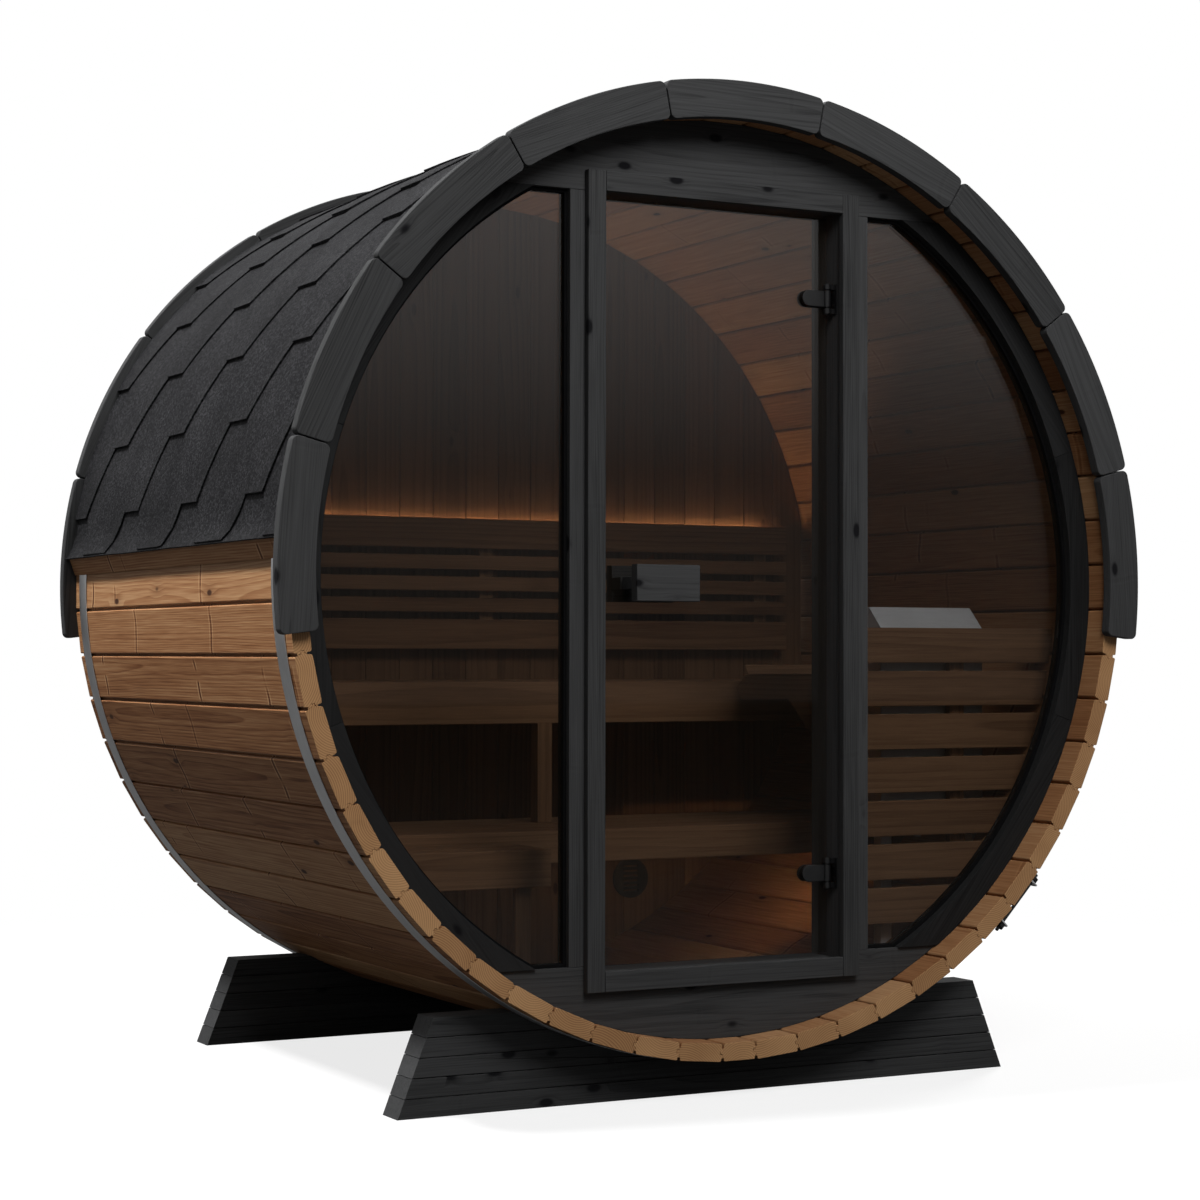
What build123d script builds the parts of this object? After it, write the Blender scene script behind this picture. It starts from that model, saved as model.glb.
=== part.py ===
"""Barrel sauna: tongued staves on two cradles, a glazed front with a swinging door, a roof and benches."""
import os
from math import cos, radians, sin, tan

from build123d import *

# Millimetres. X runs across the barrel, Y along it from the door to the rear wall, Z up from the ground.
# The origin is on the ground under the middle of the barrel.

# General fits
seat_gap = 0.3
overrun = 10.0

# Barrel of staves
barrel_length = 1395.0
barrel_clearance = 79.0
stave_outer = 1014.0
stave_thickness = 38.0
full_staves = 59
closing_stave_share = 0.777
joint_gap = 0.4
edge_bevel = 3.0
face_groove = 7.0
tongue_length = 6.0
tongue_width = 9.0
tongue_tip_share = 0.7
groove_play = 0.6

# Steel straps and their screw tensioners
strap_inset = 34.0
strap_width = 52.0
strap_thickness = 1.5
strap_start_angle = 130.0
strap_end_angle = 136.5
lug_height = 48.0
lug_width = 20.0
lug_thickness = 4.0
screw_diameter = 8.0
screw_lift = 36.0
screw_tail = 9.0
nut_diameter = 22.0
nut_height = 10.0

# Cradles
cradle_inset = 88.0
cradle_rear_inset = 104.0
cradle_thickness = 76.0
cradle_bottom_width = 1486.0
cradle_top_width = 1330.0
cradle_wrap = 121.0
cradle_boards = 5
cradle_groove = 3.0

# Fascia boards over the roof ends
fascia_rise = 33.0
fascia_overhang = 10.0
fascia_thickness = 27.0
fascia_end_angle = 97.0
fascia_boards = 9
fascia_gap = 1.5
fascia_corner = 12.0
fascia_edge = 2.5

# Roof and eave strips; eave angles are measured up from the level of the axis
roof_thickness = 12.5
roof_segments = 3
flare_angle = 7.5
eave_setback = 2.0
eave_rise = 64.0
eave_strip_angle = 1.4
eave_strip_trim = 20.0

# Front wall
wall_setback = 68.0
wall_thickness = 45.0
window_sill_share = 0.8268
window_head_share = 0.8227
post_width = 47.0
ring_width = 54.0
ring_proud = 7.0
glass_thickness = 8.0
window_glass_setback = 20.0
gasket_width = 7.0
gasket_depth = 24.0

# Door lining and trim
doorway_width = 594.0
doorway_sill_share = 0.8422
doorway_head_share = 0.8258
lining_thickness = 25.0
lining_depth = 117.0
trim_width = 42.0
trim_thickness = 18.0
trim_overhang = 4.0

# Door glass, hinges and handle
door_setback = 33.0
door_clearance = 6.0
hinge_edge_clearance = 10.0
upper_hinge_share = 0.6332
lower_hinge_share = 0.6537
pin_to_lining = 19.0
pin_to_glass = 9.0
pin_diameter = 8.0
pin_fit = 0.1
knuckle_diameter = 16.0
clamp_length = 74.0
clamp_height = 36.0
clamp_thickness = 10.0
clamp_inner_thickness = 8.0
clamp_bridge = 5.0
clamp_fit = 0.3
leaf_height = 65.0
leaf_depth = 24.0
leaf_thickness = 3.0
leaf_arm_height = 12.0
leaf_arm_thickness = 12.0
pin_overlap = 2.0
handle_left = 227.0
handle_width = 152.0
handle_height = 77.0
handle_thickness = 26.0
handle_drop = 12.0
handle_standoff = 39.0
handle_stem_width = 46.0
handle_stem_height = 26.0
handle_edge = 5.0

# Rear wall and vent
rear_wall_setback = 93.0
rear_wall_thickness = 38.0
plank_width = 91.0
vent_across_share = 0.4385
vent_drop_share = 0.7623
vent_radius = 51.0
vent_hole_radius = 44.0
vent_flange = 6.0
vent_slots = 6
vent_slot_height = 5.0

# Benches, backrest, side seat and lamp strips; heights are shares of the inside radius, taken from the axis,
# and depths are shares of the room between the front wall and the rear wall
bench_board = 22.0
slat_gap = 10.0
upper_bench_depth_share = 0.437
upper_bench_drop_share = 0.2316
upper_bench_apron = 98.0
upper_bench_slats = 5
rail_width = 40.0
rail_shares = (-0.8, -0.076, 0.8)
bench_leg = 38.0
bench_leg_share = -0.076
lower_bench_front_share = 0.3423
lower_bench_depth_share = 0.3823
lower_bench_drop_share = 0.5707
lower_bench_apron = 73.0
lower_bench_slats = 4
lower_rail_shares = (-0.45, 0.0, 0.45)
step_front_share = 0.1668
step_drop_share = 0.5953
step_apron = 81.0
step_right_share = 0.295
step_slats = 2
step_leg_inset = 38.0
seat_drop_share = 0.1906
seat_thickness = 82.0
seat_left_share = 0.3125
seat_nose = 27.0
seat_bevel = 15.0
bracket_drop = 130.0
bracket_share = 0.463
backrest_drop_share = 0.1527
backrest_half_share = 0.9016
backrest_wide = 75.0
backrest_slat = 36.0
backrest_gap = 17.5
backrest_slats = 3
backrest_board = 22.0
batten_thickness = 24.0
batten_width = 38.0
batten_shares = (-0.92, 0.0, 0.92)
lamp_half_share = 0.871
lamp_height = 9.0
lamp_depth = 8.0
lamp_drop = 14.0
floor_lamp_share = 0.48
floor_lamp_length = 240.0

# Heater and its guard
guard_clearance = 5.0
guard_left_share = 0.41
guard_drop_share = 0.1025
guard_slat = 80.0
guard_gap = 18.0
guard_slats = 7
guard_board = 20.0
guard_batten = 40.0
guard_batten_inset = 8.0
guard_batten_share = 0.707
heater_left_share = 0.5307
heater_width = 284.0
heater_clearance = 8.0
heater_depth_share = 0.205
heater_bottom_share = 0.5164
heater_hood = 48.0
heater_sheet = 4.0
heater_leg = 30.0

# Values that follow from the sizes above
front_end = -barrel_length / 2
rear_end = barrel_length / 2
axis_height = barrel_clearance + stave_outer
stave_inner = stave_outer - stave_thickness
stave_angle = 360 / (full_staves + closing_stave_share)
closing_angle = stave_angle * closing_stave_share
inside_fit = stave_inner - seat_gap
strap_inner = stave_outer / cos(radians(stave_angle / 2)) - edge_bevel * tan(radians(stave_angle / 2))
strap_outer = strap_inner + strap_thickness
roof_inner = strap_outer + seat_gap
roof_outer = roof_inner + roof_thickness
fascia_outer_radius = stave_outer + fascia_rise
fascia_inner_radius = stave_inner - fascia_overhang
cradle_height = barrel_clearance + cradle_wrap
wall_front = front_end + wall_setback
wall_back = wall_front + wall_thickness
rear_wall_back = rear_end - rear_wall_setback
rear_wall_front = rear_wall_back - rear_wall_thickness
room_depth = rear_wall_front - wall_back
window_bottom = axis_height - window_sill_share * stave_inner
window_top = axis_height + window_head_share * stave_inner
window_rise = window_top - window_bottom
window_middle = (window_top + window_bottom) / 2
doorway_half = doorway_width / 2
doorway_bottom = axis_height - doorway_sill_share * stave_inner
doorway_top = axis_height + doorway_head_share * stave_inner
window_side = doorway_half + lining_thickness + post_width
ring_inner = stave_inner - ring_width
glass_front = wall_front + door_setback
glass_back = glass_front + glass_thickness
pin_across = doorway_half - pin_to_lining
pin_depth = glass_front - pin_to_glass
upper_bench_height = axis_height - upper_bench_drop_share * stave_inner
upper_bench_front = rear_wall_front - upper_bench_depth_share * room_depth
lower_bench_height = axis_height - lower_bench_drop_share * stave_inner
lower_bench_front = wall_back + lower_bench_front_share * room_depth
lower_bench_depth = lower_bench_depth_share * room_depth

FRONT_LOW = (Align.CENTER, Align.MIN, Align.MIN)
FRONT_TOP = (Align.CENTER, Align.MIN, Align.MAX)
LEFT_FRONT_LOW = (Align.MIN, Align.MIN, Align.MIN)
LEFT_FRONT_TOP = (Align.MIN, Align.MIN, Align.MAX)

os.makedirs("parts", exist_ok=True)


def save(part, name):
    """Label a finished piece and write it under its own name."""
    part.label = name
    export_step(part, f"parts/{name}.step")


def across(depth, clock=0.0):
    """Plane across the barrel on its axis, facing the door end, its Y turned clockwise by clock degrees."""
    turn = radians(clock)
    return Plane(origin=(0, depth, axis_height), x_dir=(cos(turn), 0, -sin(turn)), z_dir=(0, -1, 0))


def upright(depth):
    """Plane across the barrel from the ground up, facing the door end."""
    return Plane(origin=(0, depth, 0), x_dir=(1, 0, 0), z_dir=(0, -1, 0))


def board_outline(outer, inner, half_outer, tilt, groove_depth):
    """Section of a tongued and grooved board whose edges lean in by tilt degrees below half_outer.

    The outer face is cut back at both edges by a square groove, and the inner face is bevelled."""
    lean = tan(radians(tilt))
    edge = Vector(sin(radians(tilt)), cos(radians(tilt)))
    normal = Vector(cos(radians(tilt)), -sin(radians(tilt)))
    middle = (outer + inner) / 2

    def right(height, reach=0.0):
        on_edge = Vector(half_outer - (outer - height) * lean - joint_gap / 2, height)
        return on_edge + normal * reach

    def left(height, reach=0.0):
        point = right(height, reach)
        return Vector(-point.X, point.Y)

    half_tongue = tongue_width / 2
    half_tip = half_tongue * tongue_tip_share
    half_groove = half_tongue + groove_play
    half_root = half_tip + groove_play
    slot_depth = tongue_length + groove_play
    shift = edge * half_tip
    root = Vector(-edge.X, edge.Y) * half_root
    tongue = right(middle, tongue_length)
    groove = left(middle, -slot_depth)
    return [
        left(outer) + Vector(edge_bevel, 0), right(outer) - Vector(edge_bevel, 0),
        right(outer - groove_depth) - Vector(edge_bevel, 0), right(outer - groove_depth),
        right(middle + half_tongue), tongue + shift, tongue - shift, right(middle - half_tongue),
        right(inner + edge_bevel), right(inner) - Vector(edge_bevel, 0),
        left(inner) + Vector(edge_bevel, 0), left(inner + edge_bevel),
        left(middle - half_groove), groove - root, groove + root, left(middle + half_groove),
        left(outer - groove_depth), left(outer - groove_depth) + Vector(edge_bevel, 0),
    ]


# Staves: the closing stave is centred at the bottom and the others follow it clockwise
stave_places = [(180.0, closing_angle)]
for count in range(full_staves):
    stave_places.append((180.0 + closing_angle / 2 + (count + 0.5) * stave_angle, stave_angle))

stave_groups = (
    "staves_lower_left", "staves_upper_left", "staves_top",
    "staves_upper_right", "staves_lower_right", "staves_bottom",
)
group_angle = 360 / len(stave_groups)

for number, group in enumerate(stave_groups):
    with BuildPart() as staves:
        for clock, width_angle in stave_places:
            turned = (clock - 180.0 - group_angle / 2) % 360
            if int(turned // group_angle) == number:
                half_outer = stave_outer * tan(radians(width_angle / 2))
                with BuildSketch(across(front_end, clock)):
                    with BuildLine():
                        section = board_outline(
                            stave_outer, stave_inner, half_outer, width_angle / 2, face_groove)
                        Polyline(*section, close=True)
                    make_face()
        extrude(amount=-barrel_length)
    save(staves.part, group)


def ring_lines(inner, outer, start, end):
    """Draw the outline of a ring between two clock angles."""
    outside = CenterArc((0, 0), outer, 90 - start, start - end)
    inside = CenterArc((0, 0), inner, 90 - start, start - end)
    Line(outside @ 0, inside @ 0)
    Line(outside @ 1, inside @ 1)


# Straps: open at the lower right, where each end turns up into a lug for the tension screw
strap_fronts = {
    "strap_front": front_end + strap_inset,
    "strap_rear": rear_end - strap_inset - strap_width,
}
for name, strap_start in strap_fronts.items():
    with BuildPart() as strap:
        with BuildSketch(across(strap_start)):
            with BuildLine():
                ring_lines(strap_inner, strap_outer, strap_end_angle - 360, strap_start_angle)
            make_face()
        extrude(amount=-strap_width)
        for lug_angle in (strap_start_angle, strap_end_angle):
            with BuildSketch(across(strap_start + (strap_width - lug_width) / 2, lug_angle)):
                with Locations((0, strap_inner)):
                    Rectangle(lug_thickness, strap_thickness + lug_height, align=(Align.CENTER, Align.MIN))
            extrude(amount=-lug_width)
            screw_line = Plane(
                origin=across(strap_start + strap_width / 2, lug_angle).from_local_coords(
                    (0, strap_outer + screw_lift, 0)),
                z_dir=across(strap_start, (strap_start_angle + strap_end_angle) / 2).x_dir,
            )
            with BuildSketch(screw_line):
                Circle(screw_diameter / 2 + pin_fit)
            extrude(amount=lug_height, both=True, mode=Mode.SUBTRACT)
    save(strap.part, name)

gap_middle = (strap_start_angle + strap_end_angle) / 2
half_gap = radians((strap_end_angle - strap_start_angle) / 2)
screw_radius = (strap_outer + screw_lift) * cos(half_gap)
lug_reach = (strap_outer + screw_lift) * sin(half_gap)
nut_start = lug_reach + lug_thickness
with BuildPart() as tensioners:
    for strap_start in strap_fronts.values():
        middle_plane = across(strap_start + strap_width / 2, gap_middle)
        screw_origin = middle_plane.from_local_coords((0, screw_radius, 0))
        with BuildSketch(Plane(origin=screw_origin, z_dir=middle_plane.x_dir)):
            Circle(screw_diameter / 2)
        extrude(amount=nut_start + nut_height + screw_tail, both=True)
        for side in (-1, 1):
            nut_origin = screw_origin + middle_plane.x_dir * (side * nut_start)
            with BuildSketch(Plane(origin=nut_origin, z_dir=middle_plane.x_dir * side)):
                RegularPolygon(nut_diameter / 2, 6)
            extrude(amount=nut_height)
save(tensioners.part, "strap_tensioners")

# Cradles: five boards, a saw-cut seat for the barrel and a bevelled groove at each board joint
cradle_fronts = {
    "cradle_front": front_end + cradle_inset,
    "cradle_rear": rear_end - cradle_rear_inset - cradle_thickness,
}
cradle_board = cradle_height / cradle_boards
for name, cradle_start in cradle_fronts.items():
    with BuildPart() as cradle:
        with BuildSketch(upright(cradle_start)):
            with BuildLine():
                Polyline(
                    (-cradle_bottom_width / 2, 0), (cradle_bottom_width / 2, 0),
                    (cradle_top_width / 2, cradle_height), (-cradle_top_width / 2, cradle_height), close=True,
                )
            make_face()
            with Locations((0, axis_height)):
                Circle(strap_inner + seat_gap, mode=Mode.SUBTRACT)
        extrude(amount=-cradle_thickness)
        for board in range(1, cradle_boards):
            for face in (0, cradle_thickness):
                with Locations((0, cradle_start + face, board * cradle_board)):
                    Box(
                        cradle_bottom_width, cradle_groove, cradle_groove, rotation=(45, 0, 0),
                        mode=Mode.SUBTRACT)
    save(cradle.part, name)

# Fascia boards: curved segments with rounded corners, laid over the stave ends and the roof edge
fascia_pitch = 2 * fascia_end_angle / fascia_boards
fascia_gap_angle = fascia_gap / radians(fascia_outer_radius)
for name, fascia_start in {"fascia_front": front_end - fascia_thickness, "fascia_rear": rear_end}.items():
    with BuildPart() as fascia:
        for board in range(fascia_boards):
            start = -fascia_end_angle + board * fascia_pitch + fascia_gap_angle / 2
            with BuildSketch(across(fascia_start)) as outline:
                with BuildLine():
                    ring_lines(
                        fascia_inner_radius, fascia_outer_radius, start,
                        start + fascia_pitch - fascia_gap_angle)
                make_face()
                fillet(outline.vertices(), fascia_corner)
        extrude(amount=-fascia_thickness)
        shown = Axis.Y if name == "fascia_rear" else -Axis.Y
        front_faces = fascia.faces().filter_by(Axis.Y).group_by(shown)[-1]
        chamfer(front_faces.edges(), fascia_edge)
    save(fascia.part, name)

# Roof: a thin curved layer in segments on each side, whose last stretch bends out to the eave
roof_segment = (90 - flare_angle) / roof_segments
roof_gap_angle = seat_gap / radians(roof_outer)
eave_reach = fascia_outer_radius - eave_setback


def at_level(radius, angle):
    """Point on the right side of the barrel, angle degrees above the level of its axis."""
    return Vector(radius * cos(radians(angle)), radius * sin(radians(angle)))


with BuildPart() as roof:
    for segment in range(roof_segments):
        start = segment * roof_segment + roof_gap_angle / 2
        with BuildSketch(across(front_end)):
            with BuildLine():
                if segment < roof_segments - 1:
                    ring_lines(roof_inner, roof_outer, start, start + roof_segment - roof_gap_angle)
                else:
                    outer_arc = CenterArc((0, 0), roof_outer, 90 - start, start - 90 + flare_angle)
                    inner_arc = CenterArc((0, 0), roof_inner, 90 - start, start - 90 + flare_angle)
                    tip = Vector(eave_reach, eave_rise)
                    outer_flare = TangentArc(outer_arc @ 1, tip, tangent=outer_arc % 1)
                    inner_tip = tip - Vector(roof_thickness, 0)
                    inner_flare = TangentArc(inner_arc @ 1, inner_tip, tangent=inner_arc % 1)
                    Line(outer_flare @ 1, inner_flare @ 1)
                    Line(outer_arc @ 0, inner_arc @ 0)
            make_face()
    extrude(amount=-barrel_length)
save(roof.part, "roof_right")
save(mirror(roof.part, about=Plane.YZ), "roof_left")

# Eave strips: three-cornered battens on the straps, under the flared roof edge, their thin edge cut blunt
with BuildPart() as eave_strip:
    with BuildSketch(across(front_end)):
        with BuildLine():
            low = at_level(roof_inner, eave_strip_angle)
            seat = CenterArc((0, 0), roof_inner, eave_strip_angle, flare_angle - eave_strip_angle)
            high_flare = TangentArc(
                seat @ 1, Vector(eave_reach - roof_thickness - seat_gap, eave_rise), tangent=-(seat % 1))
            Line(high_flare @ 1, low)
        make_face()
        with Locations((0, (seat @ 1).Y - eave_strip_trim)):
            Rectangle(2 * eave_reach, eave_reach, align=(Align.CENTER, Align.MIN), mode=Mode.SUBTRACT)
    extrude(amount=-barrel_length)
save(eave_strip.part, "eave_strip_right")
save(mirror(eave_strip.part, about=Plane.YZ), "eave_strip_left")

# Front panels: segments of the round wall above and below the glazing, notched for the door lining
lining_half = doorway_half + lining_thickness
lining_top = doorway_top + lining_thickness
lining_bottom = doorway_bottom - lining_thickness
for name, level, side, notch in (
    ("front_panel_top", window_top, Align.MIN, lining_top - window_top),
    ("front_panel_bottom", window_bottom, Align.MAX, window_bottom - lining_bottom),
):
    with BuildPart() as panel:
        with BuildSketch(across(wall_front)):
            Circle(inside_fit)
            with Locations((0, level - axis_height)):
                Rectangle(2 * stave_outer, stave_outer, align=(Align.CENTER, side), mode=Mode.INTERSECT)
                Rectangle(
                    2 * (lining_half + seat_gap), notch + seat_gap, align=(Align.CENTER, side),
                    mode=Mode.SUBTRACT)
        extrude(amount=-wall_thickness)
    save(panel.part, name)


def mirrored_pair(piece, name):
    """Save a right-hand piece and its left-hand copy."""
    save(piece, f"{name}_right")
    save(mirror(piece, about=Plane.YZ), f"{name}_left")


# Posts between the doorway lining and the side windows
post_start = lining_half + seat_gap
with BuildPart() as post:
    with Locations((post_start, wall_front, window_bottom + seat_gap)):
        Box(window_side - post_start, wall_thickness, window_rise - 2 * seat_gap, align=LEFT_FRONT_LOW)
mirrored_pair(post.part, "front_post")


def window_shape(radius, inset):
    """Half-moon of a side window, drawn in the sketch that is open, drawn in by inset all round."""
    Circle(radius - inset)
    with Locations((window_side + inset, window_middle - axis_height)):
        Rectangle(
            stave_outer, window_rise - 2 * inset, align=(Align.MIN, Align.CENTER), mode=Mode.INTERSECT)


# Window rings: curved frames between the window glass and the staves, standing a little proud of the wall
with BuildPart() as ring:
    with BuildSketch(across(wall_front - ring_proud)):
        Circle(inside_fit)
        Circle(ring_inner, mode=Mode.SUBTRACT)
        with Locations((window_side + seat_gap, window_middle - axis_height)):
            Rectangle(
                stave_outer, window_rise - 2 * seat_gap, align=(Align.MIN, Align.CENTER), mode=Mode.INTERSECT)
    extrude(amount=-wall_thickness - ring_proud)
mirrored_pair(ring.part, "window_ring")

# Window glass, and the dark gasket that lines the opening and holds it
window_glass_front = wall_front + window_glass_setback
with BuildPart() as glass:
    with BuildSketch(across(window_glass_front)):
        window_shape(ring_inner, gasket_width + 2 * seat_gap)
    extrude(amount=-glass_thickness)
mirrored_pair(glass.part, "window_glass")

gasket_front = window_glass_front + glass_thickness / 2 - gasket_depth / 2
with BuildPart() as gasket:
    with BuildSketch(across(gasket_front)):
        window_shape(ring_inner, seat_gap)
    extrude(amount=-gasket_depth)
    with BuildSketch(across(gasket_front)):
        window_shape(ring_inner, gasket_width + seat_gap)
    extrude(amount=-gasket_depth, mode=Mode.SUBTRACT)
    mirror(about=Plane.YZ)
save(gasket.part, "window_gaskets")

# Door lining: two uprights with a head and a sill between them
with BuildPart() as lining:
    for side in (-1, 1):
        with Locations((side * (doorway_half + lining_thickness / 2), wall_front, lining_bottom)):
            Box(lining_thickness, lining_depth, lining_top - lining_bottom, align=FRONT_LOW)
    for level in (lining_bottom, doorway_top):
        with Locations((0, wall_front, level)):
            Box(doorway_width - 2 * seat_gap, lining_depth, lining_thickness, align=FRONT_LOW)
save(lining.part, "door_lining")

# Door trim: raised boards round the doorway that lap over the lining
trim_half = doorway_half - trim_overhang
trim_bottom = doorway_bottom + trim_overhang
trim_top = doorway_top - trim_overhang
with BuildPart() as trim:
    for side in (-1, 1):
        trim_across = side * (trim_half + trim_width / 2)
        with Locations((trim_across, wall_front - trim_thickness, trim_bottom - trim_width)):
            Box(trim_width, trim_thickness, trim_top - trim_bottom + 2 * trim_width, align=FRONT_LOW)
    for level in (trim_bottom - trim_width, trim_top):
        with Locations((0, wall_front - trim_thickness, level)):
            Box(2 * (trim_half - seat_gap), trim_thickness, trim_width, align=FRONT_LOW)
save(trim.part, "door_trim")

# Door glass: it stands clear inside the trim and stops short of the hinge pins' lining
glass_left = -trim_half + door_clearance
glass_right = trim_half - hinge_edge_clearance
glass_bottom = trim_bottom + door_clearance
glass_rise = trim_top - door_clearance - glass_bottom
with BuildPart() as door_glass:
    with Locations((glass_left, glass_front, glass_bottom)):
        Box(glass_right - glass_left, glass_thickness, glass_rise, align=LEFT_FRONT_LOW)
save(door_glass.part, "door_glass")

# Hinges: a clamp on the glass turns on a pin held by two arms of a leaf on the lining
clamp_end = glass_right + clamp_fit + clamp_bridge
for name, share in (("upper", upper_hinge_share), ("lower", -lower_hinge_share)):
    level = axis_height + share * stave_inner
    with BuildPart() as clamp:
        with BuildSketch(upright(glass_front)):
            with Locations((clamp_end, level)):
                Rectangle(clamp_length - clamp_height / 2, clamp_height, align=(Align.MAX, Align.CENTER))
            with Locations((clamp_end - clamp_length + clamp_height / 2, level)):
                Circle(clamp_height / 2)
        extrude(amount=clamp_thickness)
        with BuildSketch(upright(glass_back)):
            with Locations((clamp_end, level)):
                Rectangle(clamp_length - clamp_height / 2, clamp_height, align=(Align.MAX, Align.CENTER))
            with Locations((clamp_end - clamp_length + clamp_height / 2, level)):
                Circle(clamp_height / 2)
        extrude(amount=-clamp_inner_thickness)
        with Locations((clamp_end, glass_front, level)):
            Box(clamp_bridge, glass_thickness, clamp_height, align=(Align.MAX, Align.MIN, Align.CENTER))
        with Locations((pin_across, pin_depth, level)):
            Cylinder(knuckle_diameter / 2, clamp_height)
            Cylinder(pin_diameter / 2 + pin_fit, clamp_height, mode=Mode.SUBTRACT)
    save(clamp.part, f"hinge_clamp_{name}")

    arm_start = leaf_height / 2 - leaf_arm_height
    with BuildPart() as leaf:
        with Locations((doorway_half, pin_depth, level)):
            Box(leaf_thickness, leaf_depth, leaf_height, align=(Align.MAX, Align.CENTER, Align.CENTER))
        for side in (-1, 1):
            with Locations((pin_across, pin_depth, level + side * (arm_start + leaf_arm_height / 2))):
                Cylinder(knuckle_diameter / 2, leaf_arm_height)
                Box(
                    pin_to_lining - leaf_thickness, leaf_arm_thickness, leaf_arm_height,
                    align=(Align.MIN, Align.CENTER, Align.CENTER),
                )
        with Locations((pin_across, pin_depth, level)):
            Cylinder(pin_diameter / 2, leaf_height + 2 * pin_overlap)
    save(leaf.part, f"hinge_leaf_{name}")

# Door handle: a wooden block on a stem, one each side of the glass
handle_height_centre = axis_height - handle_drop
with BuildPart() as handle:
    for face, direction, front in (
        (glass_front, -1, glass_front - handle_standoff - handle_thickness),
        (glass_back, 1, glass_back + handle_standoff),
    ):
        with Locations((-handle_left, front, handle_height_centre)):
            Box(handle_width, handle_thickness, handle_height, align=(Align.MIN, Align.MIN, Align.CENTER))
        stem_start = face - handle_standoff if direction < 0 else face
        with Locations((-handle_left, stem_start, handle_height_centre)):
            Box(
                handle_stem_width, handle_standoff, handle_stem_height,
                align=(Align.MIN, Align.MIN, Align.CENTER))
    block_edges = handle.edges().filter_by(lambda edge: abs(edge.length - handle_width) < seat_gap)
    chamfer(block_edges, handle_edge / 2)
save(handle.part, "door_handle")

# Rear wall: upright tongued boards, cut round to the staves and bored for the vent
vent_across = vent_across_share * stave_inner
vent_height = axis_height - vent_drop_share * stave_inner
plank_half = plank_width / 2
plank_count = 2 * int(stave_inner // plank_width) + 1
with BuildPart() as rear_wall:
    for count in range(plank_count):
        shift = (count - plank_count // 2) * plank_width
        with BuildSketch(Plane(origin=(shift, rear_wall_back, 0), x_dir=(1, 0, 0), z_dir=(0, 0, 1))):
            with BuildLine():
                Polyline(*board_outline(0, -rear_wall_thickness, plank_half, 0, edge_bevel), close=True)
            make_face()
    extrude(amount=axis_height + stave_outer)
    with BuildSketch(across(rear_wall_front - overrun)):
        Circle(inside_fit)
    extrude(amount=-rear_wall_thickness - 2 * overrun, mode=Mode.INTERSECT)
    with BuildSketch(upright(rear_wall_front - overrun)):
        with Locations((vent_across, vent_height)):
            Circle(vent_hole_radius + seat_gap)
    extrude(amount=-rear_wall_thickness - 2 * overrun, mode=Mode.SUBTRACT)
save(rear_wall.part, "rear_wall")

# Vent: a tube through the wall with a slotted flange on each face
slot_pitch = 2 * vent_hole_radius / (vent_slots + 1)
with BuildPart() as vent:
    with BuildSketch(upright(rear_wall_front)):
        with Locations((vent_across, vent_height)):
            Circle(vent_hole_radius)
    extrude(amount=-rear_wall_thickness)
    for face, outward in ((rear_wall_front, vent_flange), (rear_wall_back, -vent_flange)):
        with BuildSketch(upright(face)):
            with Locations((vent_across, vent_height)):
                Circle(vent_radius)
        extrude(amount=outward)
    with BuildSketch(upright(rear_wall_front - overrun)):
        with Locations((vent_across, vent_height)):
            with GridLocations(0, slot_pitch, 1, vent_slots):
                Rectangle(vent_hole_radius, vent_slot_height)
    extrude(amount=-rear_wall_thickness - 2 * overrun, mode=Mode.SUBTRACT)
save(vent.part, "rear_vent")


def trim_to_barrel():
    """Cut the open part to the inside of the staves."""
    with Locations((0, 0, axis_height)):
        Cylinder(inside_fit, barrel_length, rotation=(90, 0, 0), mode=Mode.INTERSECT)


def bench_top(front, back, top, left, right, slats):
    """Boards laid along X between two depths, with a small gap between them, in the open part."""
    width = (back - front - (slats - 1) * slat_gap) / slats
    for slat in range(slats):
        with Locations((left, front + slat * (width + slat_gap), top)):
            Box(right - left, width, bench_board, align=LEFT_FRONT_TOP)


# Upper bench: an apron, boards on cross rails, and a leg down to the lower bench
bench_back = rear_wall_front - seat_gap
with BuildPart() as upper_bench:
    bench_top(upper_bench_front, bench_back, upper_bench_height, -stave_outer, stave_outer, upper_bench_slats)
    with Locations((0, upper_bench_front, upper_bench_height)):
        Box(2 * stave_outer, bench_board, upper_bench_apron, align=FRONT_TOP)
    for share in rail_shares:
        with Locations((share * stave_inner, upper_bench_front, upper_bench_height - bench_board)):
            Box(rail_width, bench_back - upper_bench_front, upper_bench_apron - bench_board, align=FRONT_TOP)
    leg_rise = upper_bench_height - bench_board - lower_bench_height - seat_gap
    with Locations((bench_leg_share * stave_inner, upper_bench_front, lower_bench_height + seat_gap)):
        Box(bench_leg, bench_leg, leg_rise, align=FRONT_LOW)
    trim_to_barrel()
save(upper_bench.part, "upper_bench")

# Lower bench: a shallower one in front of and below the upper bench
with BuildPart() as lower_bench:
    bench_top(
        lower_bench_front, lower_bench_front + lower_bench_depth, lower_bench_height, -stave_outer, stave_outer,
        lower_bench_slats)
    with Locations((0, lower_bench_front, lower_bench_height)):
        Box(2 * stave_outer, bench_board, lower_bench_apron, align=FRONT_TOP)
    for share in lower_rail_shares:
        with Locations((share * stave_inner, lower_bench_front, lower_bench_height - bench_board)):
            Box(rail_width, lower_bench_depth, lower_bench_apron - bench_board, align=FRONT_TOP)
    trim_to_barrel()
save(lower_bench.part, "lower_bench")

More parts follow.
